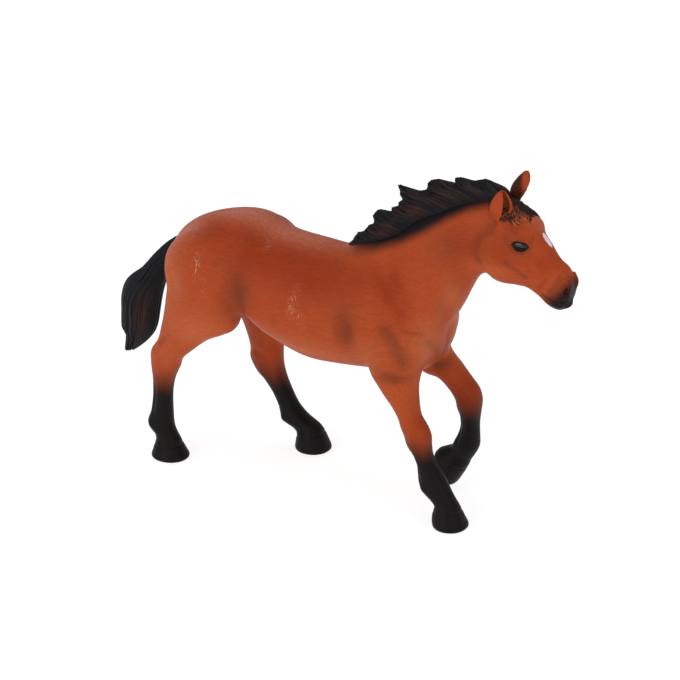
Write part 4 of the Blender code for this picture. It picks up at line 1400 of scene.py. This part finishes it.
def maneGuides():
    ends, roots, along = maneColumns()
    last = len(ends) - 1
    guides = []
    chance = np.random.default_rng(mane["seed"])
    for side in (-1, 1):
        for k in range(mane["clumps"]):
            share = (k + 0.5 + chance.uniform(-0.2, 0.2)) / mane["clumps"]
            reachOut = chance.uniform(0.97, 1.03)
            brushed = 0.42 * chance.uniform(0, 1) ** 1.5
            for layer in (0, 1):
                for o in np.linspace(-1, 1, mane["perClump"]):
                    rootShare = share + (o * 0.62 + 0.5 * layer) / mane["clumps"]
                    endShare = share + (o * (0.36 - 0.16 * layer) + 0.5 * layer) / mane["clumps"]
                    root = roots[int(round(np.clip(rootShare, 0, 1) * last))]
                    end = ends[int(round(np.clip(endShare, 0, 1) * last))]
                    reach = reachOut * (1 - 0.10 * abs(o)) * (chance.uniform(0.5, 0.8) if layer else 1)
                    h = np.linspace(-0.06, reach, mane["steps"])
                    path, tall = manePath(root, end, h)
                    out = maneHalf(np.clip(h, 0, 1), tall) * 0.92
                    out += mane["swell"] * (1 - o * o) * np.sin(math.pi * np.clip(h / reach, 0, 1))
                    out += 0.32 * layer * np.clip(h / reach, 0, 1)
                    points = np.column_stack([path[:, 0], side * out, path[:, 1]])
                    # Brown along each strand's middle: partly dry-brushed paint, partly painted glints
                    glint = brushed * np.sin(math.pi * np.linspace(0.1, 0.9, len(h))) * (1 - 0.5 * abs(o))
                    guides.append((points, glint))
    return guides


tail = {
    # The front and back edges in the side view, from inside the rump to the tip
    "front": [(-53.0, 65.0), (-57.5, 63.6), (-61.6, 59.6), (-64.5, 54.6), (-66.3, 49.2), (-67.2, 44.6),
              (-67.9, 40.0), (-68.8, 36.0), (-70.8, 32.8), (-73.6, 29.8), (-77.0, 27.0)],
    "back": [(-53.0, 73.2), (-58.0, 70.6), (-62.8, 67.2), (-67.4, 62.6), (-72.2, 57.0), (-76.6, 53.2),
             (-79.3, 49.8), (-80.6, 45.6), (-80.9, 40.4), (-81.2, 35.4), (-79.4, 33.2), (-79.8, 29.6),
             (-80.2, 26.4)],
    # Its half thickness by the share of its length
    "half": [(0.0, 2.2), (0.15, 2.9), (0.3, 3.7), (0.5, 4.6),
             (0.68, 4.5), (0.84, 3.3), (0.95, 2.0), (1.0, 1.5)],
    "locks": [0.0, 0.17, 0.38, 0.6, 0.82, 1.0],    # where each begins, from the front edge to the back
    "perLock": 12,
    "loose": 13,              # thinner locks laid over them, on each side
    "perLoose": 4,
    "hanging": (0.97, 1.08, 0.42, 0.79),    # the lock that ends short at the back: across, then along
    "radius": 0.46,
    "swell": 0.5,             # mm that a lock's middle stands out from the grooves
    "sway": 0.8,              # mm that the locks wander fore and aft
    "steps": 22,
    "seed": 11,
}


def tailEdges():
    return alongLine(smoothRows(tail["front"], 5)), alongLine(smoothRows(tail["back"], 5))


def tailGuides():
    front, back = tailEdges()
    guides = []
    chance = np.random.default_rng(tail["seed"])

    def addStrand(side, q, lastQ, at, ridge, phase, tone):
        q = q + (lastQ - q) * at ** 1.5
        across = q[:, None]
        place = front(at) * (1 - across) + back(at) * across
        inner = np.clip(4 * q * (1 - q), 0, 1)
        place[:, 0] += tail["sway"] * inner * np.sin(5.5 * at + 2.2 * q + phase) * at * (1 - at)
        out = np.interp(at, *zip(*tail["half"])) * np.sqrt(inner) * 0.86
        out = out + tail["swell"] * ridge * np.clip(at * 3, 0, 1) * np.sqrt(inner)
        # Brown low on the tail's front half: partly dry-brushed paint, partly painted glints
        low = np.exp(-((at - 0.68) / 0.2) ** 2) * np.exp(-((q - 0.3) / 0.22) ** 2)
        guides.append((np.column_stack([place[:, 0], side * out, place[:, 1]]), tone * low))

    for side in (-1, 1):
        for begin, finish in zip(tail["locks"], tail["locks"][1:]):
            tone, phase = chance.uniform(0.15, 0.4), chance.uniform(0, 1.6)
            for o in np.linspace(-1, 1, tail["perLock"]):
                middle, half = (begin + finish) / 2, (finish - begin) / 2
                at = np.linspace(0, 1.0 - chance.uniform(0, 0.03), tail["steps"])
                addStrand(side, middle + half * o, middle + half * 0.8 * o, at, 1 - o * o, phase,
                          tone * (1 - 0.5 * abs(o)))
        for k in range(tail["loose"]):
            middle = chance.uniform(0.08, 0.92)
            lastQ = np.clip(middle + chance.uniform(-0.25, 0.25), 0.1, 0.9)
            begin, finish = chance.uniform(0.0, 0.45), chance.uniform(0.8, 0.98)
            tone, phase = chance.uniform(0.1, 0.5), chance.uniform(0, 1.6)
            for o in np.linspace(-1, 1, tail["perLoose"]):
                at = np.linspace(begin, finish, tail["steps"])
                hump = np.sin(math.pi * np.clip((at - begin) / (finish - begin), 0, 1)) ** 0.5
                ridge = (1.6 - 0.5 * o * o) * hump
                addStrand(side, middle + 0.05 * o, lastQ + 0.03 * o, at, ridge, phase, tone)
        first, last, begin, finish = tail["hanging"]
        for o in np.linspace(0, 1, 5):
            at = np.linspace(begin, finish - 0.02 * (1 - o), tail["steps"])
            addStrand(side, 0.9 + 0.06 * o, first + (last - first) * o, at, 0.3, 0.0, 0.0)
    return guides


def makeTailCore():
    front, back = tailEdges()
    form = bmesh.new()
    rows = [(*back(at), *front(at), 0.0, np.interp(at, *zip(*tail["half"])) * 0.95, 0.0)
            for at in np.linspace(0, 1, 16)]
    addLoft(form, rows)
    skin = Skin(fuse("tailCore", form, hair["voxel"]), hair["voxel"])
    skin.relax(0.3)
    return skin


forelock = {
    "root": (58.2, 0.0, 104.2),
    # The border of the hair on the forehead, from its middle round to under the ear
    "border": [(66.4, 0.0, 100.0), (66.6, 2.4, 99.0), (65.2, 4.0, 97.9), (63.2, 4.6, 97.3), (61.2, 5.2, 97.5),
               (59.6, 6.0, 98.0), (58.4, 6.8, 99.2)],
    "strands": 200,
    "radius": 0.32,
    "wave": 0.6,              # mm
    "waves": 1.3,
    "steps": 10,
    "seed": 3,
}


def forelockGuides():
    border = alongLine(smoothRows(forelock["border"], 5))
    root = np.array(forelock["root"])
    guides = []
    chance = np.random.default_rng(forelock["seed"])
    for side in (-1, 1):
        for k in range(forelock["strands"]):
            q = chance.uniform(0, 1)
            begin = chance.uniform(0.0, 0.62)
            finish = min(begin + chance.uniform(0.3, 0.5), chance.uniform(0.9, 1.06))
            drift = chance.uniform(-0.10, 0.10)
            phase = chance.uniform(0, math.tau)
            height = chance.uniform(0.3, 1.3)
            points = []
            for t in np.linspace(0, 1, forelock["steps"]):
                share = begin + (finish - begin) * t
                place = root + (border(float(np.clip(q + drift * t, 0, 1))) - root) * share
                place = place * (1, side, 1)
                ground, normal = headSkin.tree.find_nearest(Vector(place))[:2]
                ground, normal = np.array(ground), np.array(normal)
                across = np.cross(normal, (border(q) - root) * (1, side, 1))
                across /= np.linalg.norm(across)
                wave = forelock["wave"] * math.sin(forelock["waves"] * math.tau * t + phase) * (0.3 + 0.7 * t)
                lift = height * math.sin(math.pi * min(t * 1.15, 1)) * (1.15 - share) + 0.08
                points.append(ground + normal * lift + across * wave)
            # nearly black from the poll down the middle, mixed with the coat's own brown towards the ears
            light = chance.uniform(0.5, 1.3) * ramp(finish, 0.4, 0.85) * ramp(q, 0.12, 0.4)
            tone = 0.22 + light * np.linspace(0.5, 1.0, forelock["steps"])
            guides.append((np.array(points), tone))
    return guides


def finishCore(skin, name):
    mesh = skin.write()
    mesh.polygons.foreach_set("use_smooth", np.ones(len(mesh.polygons), bool))
    piece = addObject(name, mesh)
    print(name, len(mesh.loop_triangles), "triangles")
    return piece


hairFinish = satinHairPaint()
strands = strandTree(hairFinish)
placePiece(finishCore(makeManeCore(), "maneCore"), hairFinish, "hair_paint", "mane")
placePiece(
    growStrands("maneStrands", maneGuides(), strands, mane["radius"], (0.8, 1.2), 0.15, mane["seed"]),
    hairFinish, "hair_paint",
)
placePiece(finishCore(makeTailCore(), "tailCore"), hairFinish, "hair_paint", "tail")
placePiece(
    growStrands("tailStrands", tailGuides(), strands, tail["radius"], (0.75, 1.25), 0.5, tail["seed"]),
    hairFinish, "hair_paint",
)
placePiece(
    growStrands("forelock", forelockGuides(), strands, forelock["radius"], (0.7, 1.3), 0.2, forelock["seed"]),
    hairFinish, "hair_paint",
)


stage = {
    "paper": "A0A0A0",
    "glow": 0.78,             # the paper's own light, which keeps it white round the figure
    "sky": 0.62,
    "lookAt": (0, 0, 0.05),
    # Place in metres, size in metres and watts
    "softboxes": [
        ((-0.1, 0.1, 0.95), 0.9, 1.3),
        ((-0.25, -0.85, 0.45), 0.7, 3.2),
        ((0.8, -0.45, 0.35), 0.5, 1.4),
    ],
}


def makeStage():
    floor = bpy.data.materials.new("whitePaperSweep")
    floor.use_nodes = True
    shader = floor.node_tree.nodes["Principled BSDF"]
    shader.inputs["Base Color"].default_value = toLinear(stage["paper"])
    shader.inputs["Roughness"].default_value = 0.95
    shader.inputs["Specular IOR Level"].default_value = 0.0
    shader.inputs["Emission Color"].default_value = (1, 1, 1, 1)
    shader.inputs["Emission Strength"].default_value = stage["glow"]
    form = bmesh.new()
    bmesh.ops.create_grid(form, x_segments=1, y_segments=1, size=3.0)
    mesh = bpy.data.meshes.new("floor")
    form.to_mesh(mesh)
    form.free()
    mesh.materials.append(floor)
    plane = addObject("floor", mesh)
    world = bpy.data.worlds.new("studio")
    world.use_nodes = True
    world.node_tree.nodes["Background"].inputs[0].default_value = (1, 1, 1, 1)
    world.node_tree.nodes["Background"].inputs[1].default_value = stage["sky"]
    bpy.context.scene.world = world
    for place, size, watts in stage["softboxes"]:
        light = bpy.data.lights.new("softbox", "AREA")
        light.size = size
        light.energy = watts
        lamp = addObject("softbox", light)
        lamp.location = place
        aim = Vector(stage["lookAt"]) - Vector(place)
        lamp.rotation_euler = aim.to_track_quat("-Z", "Y").to_euler()
    bpy.context.scene.view_settings.view_transform = "Standard"


makeStage()
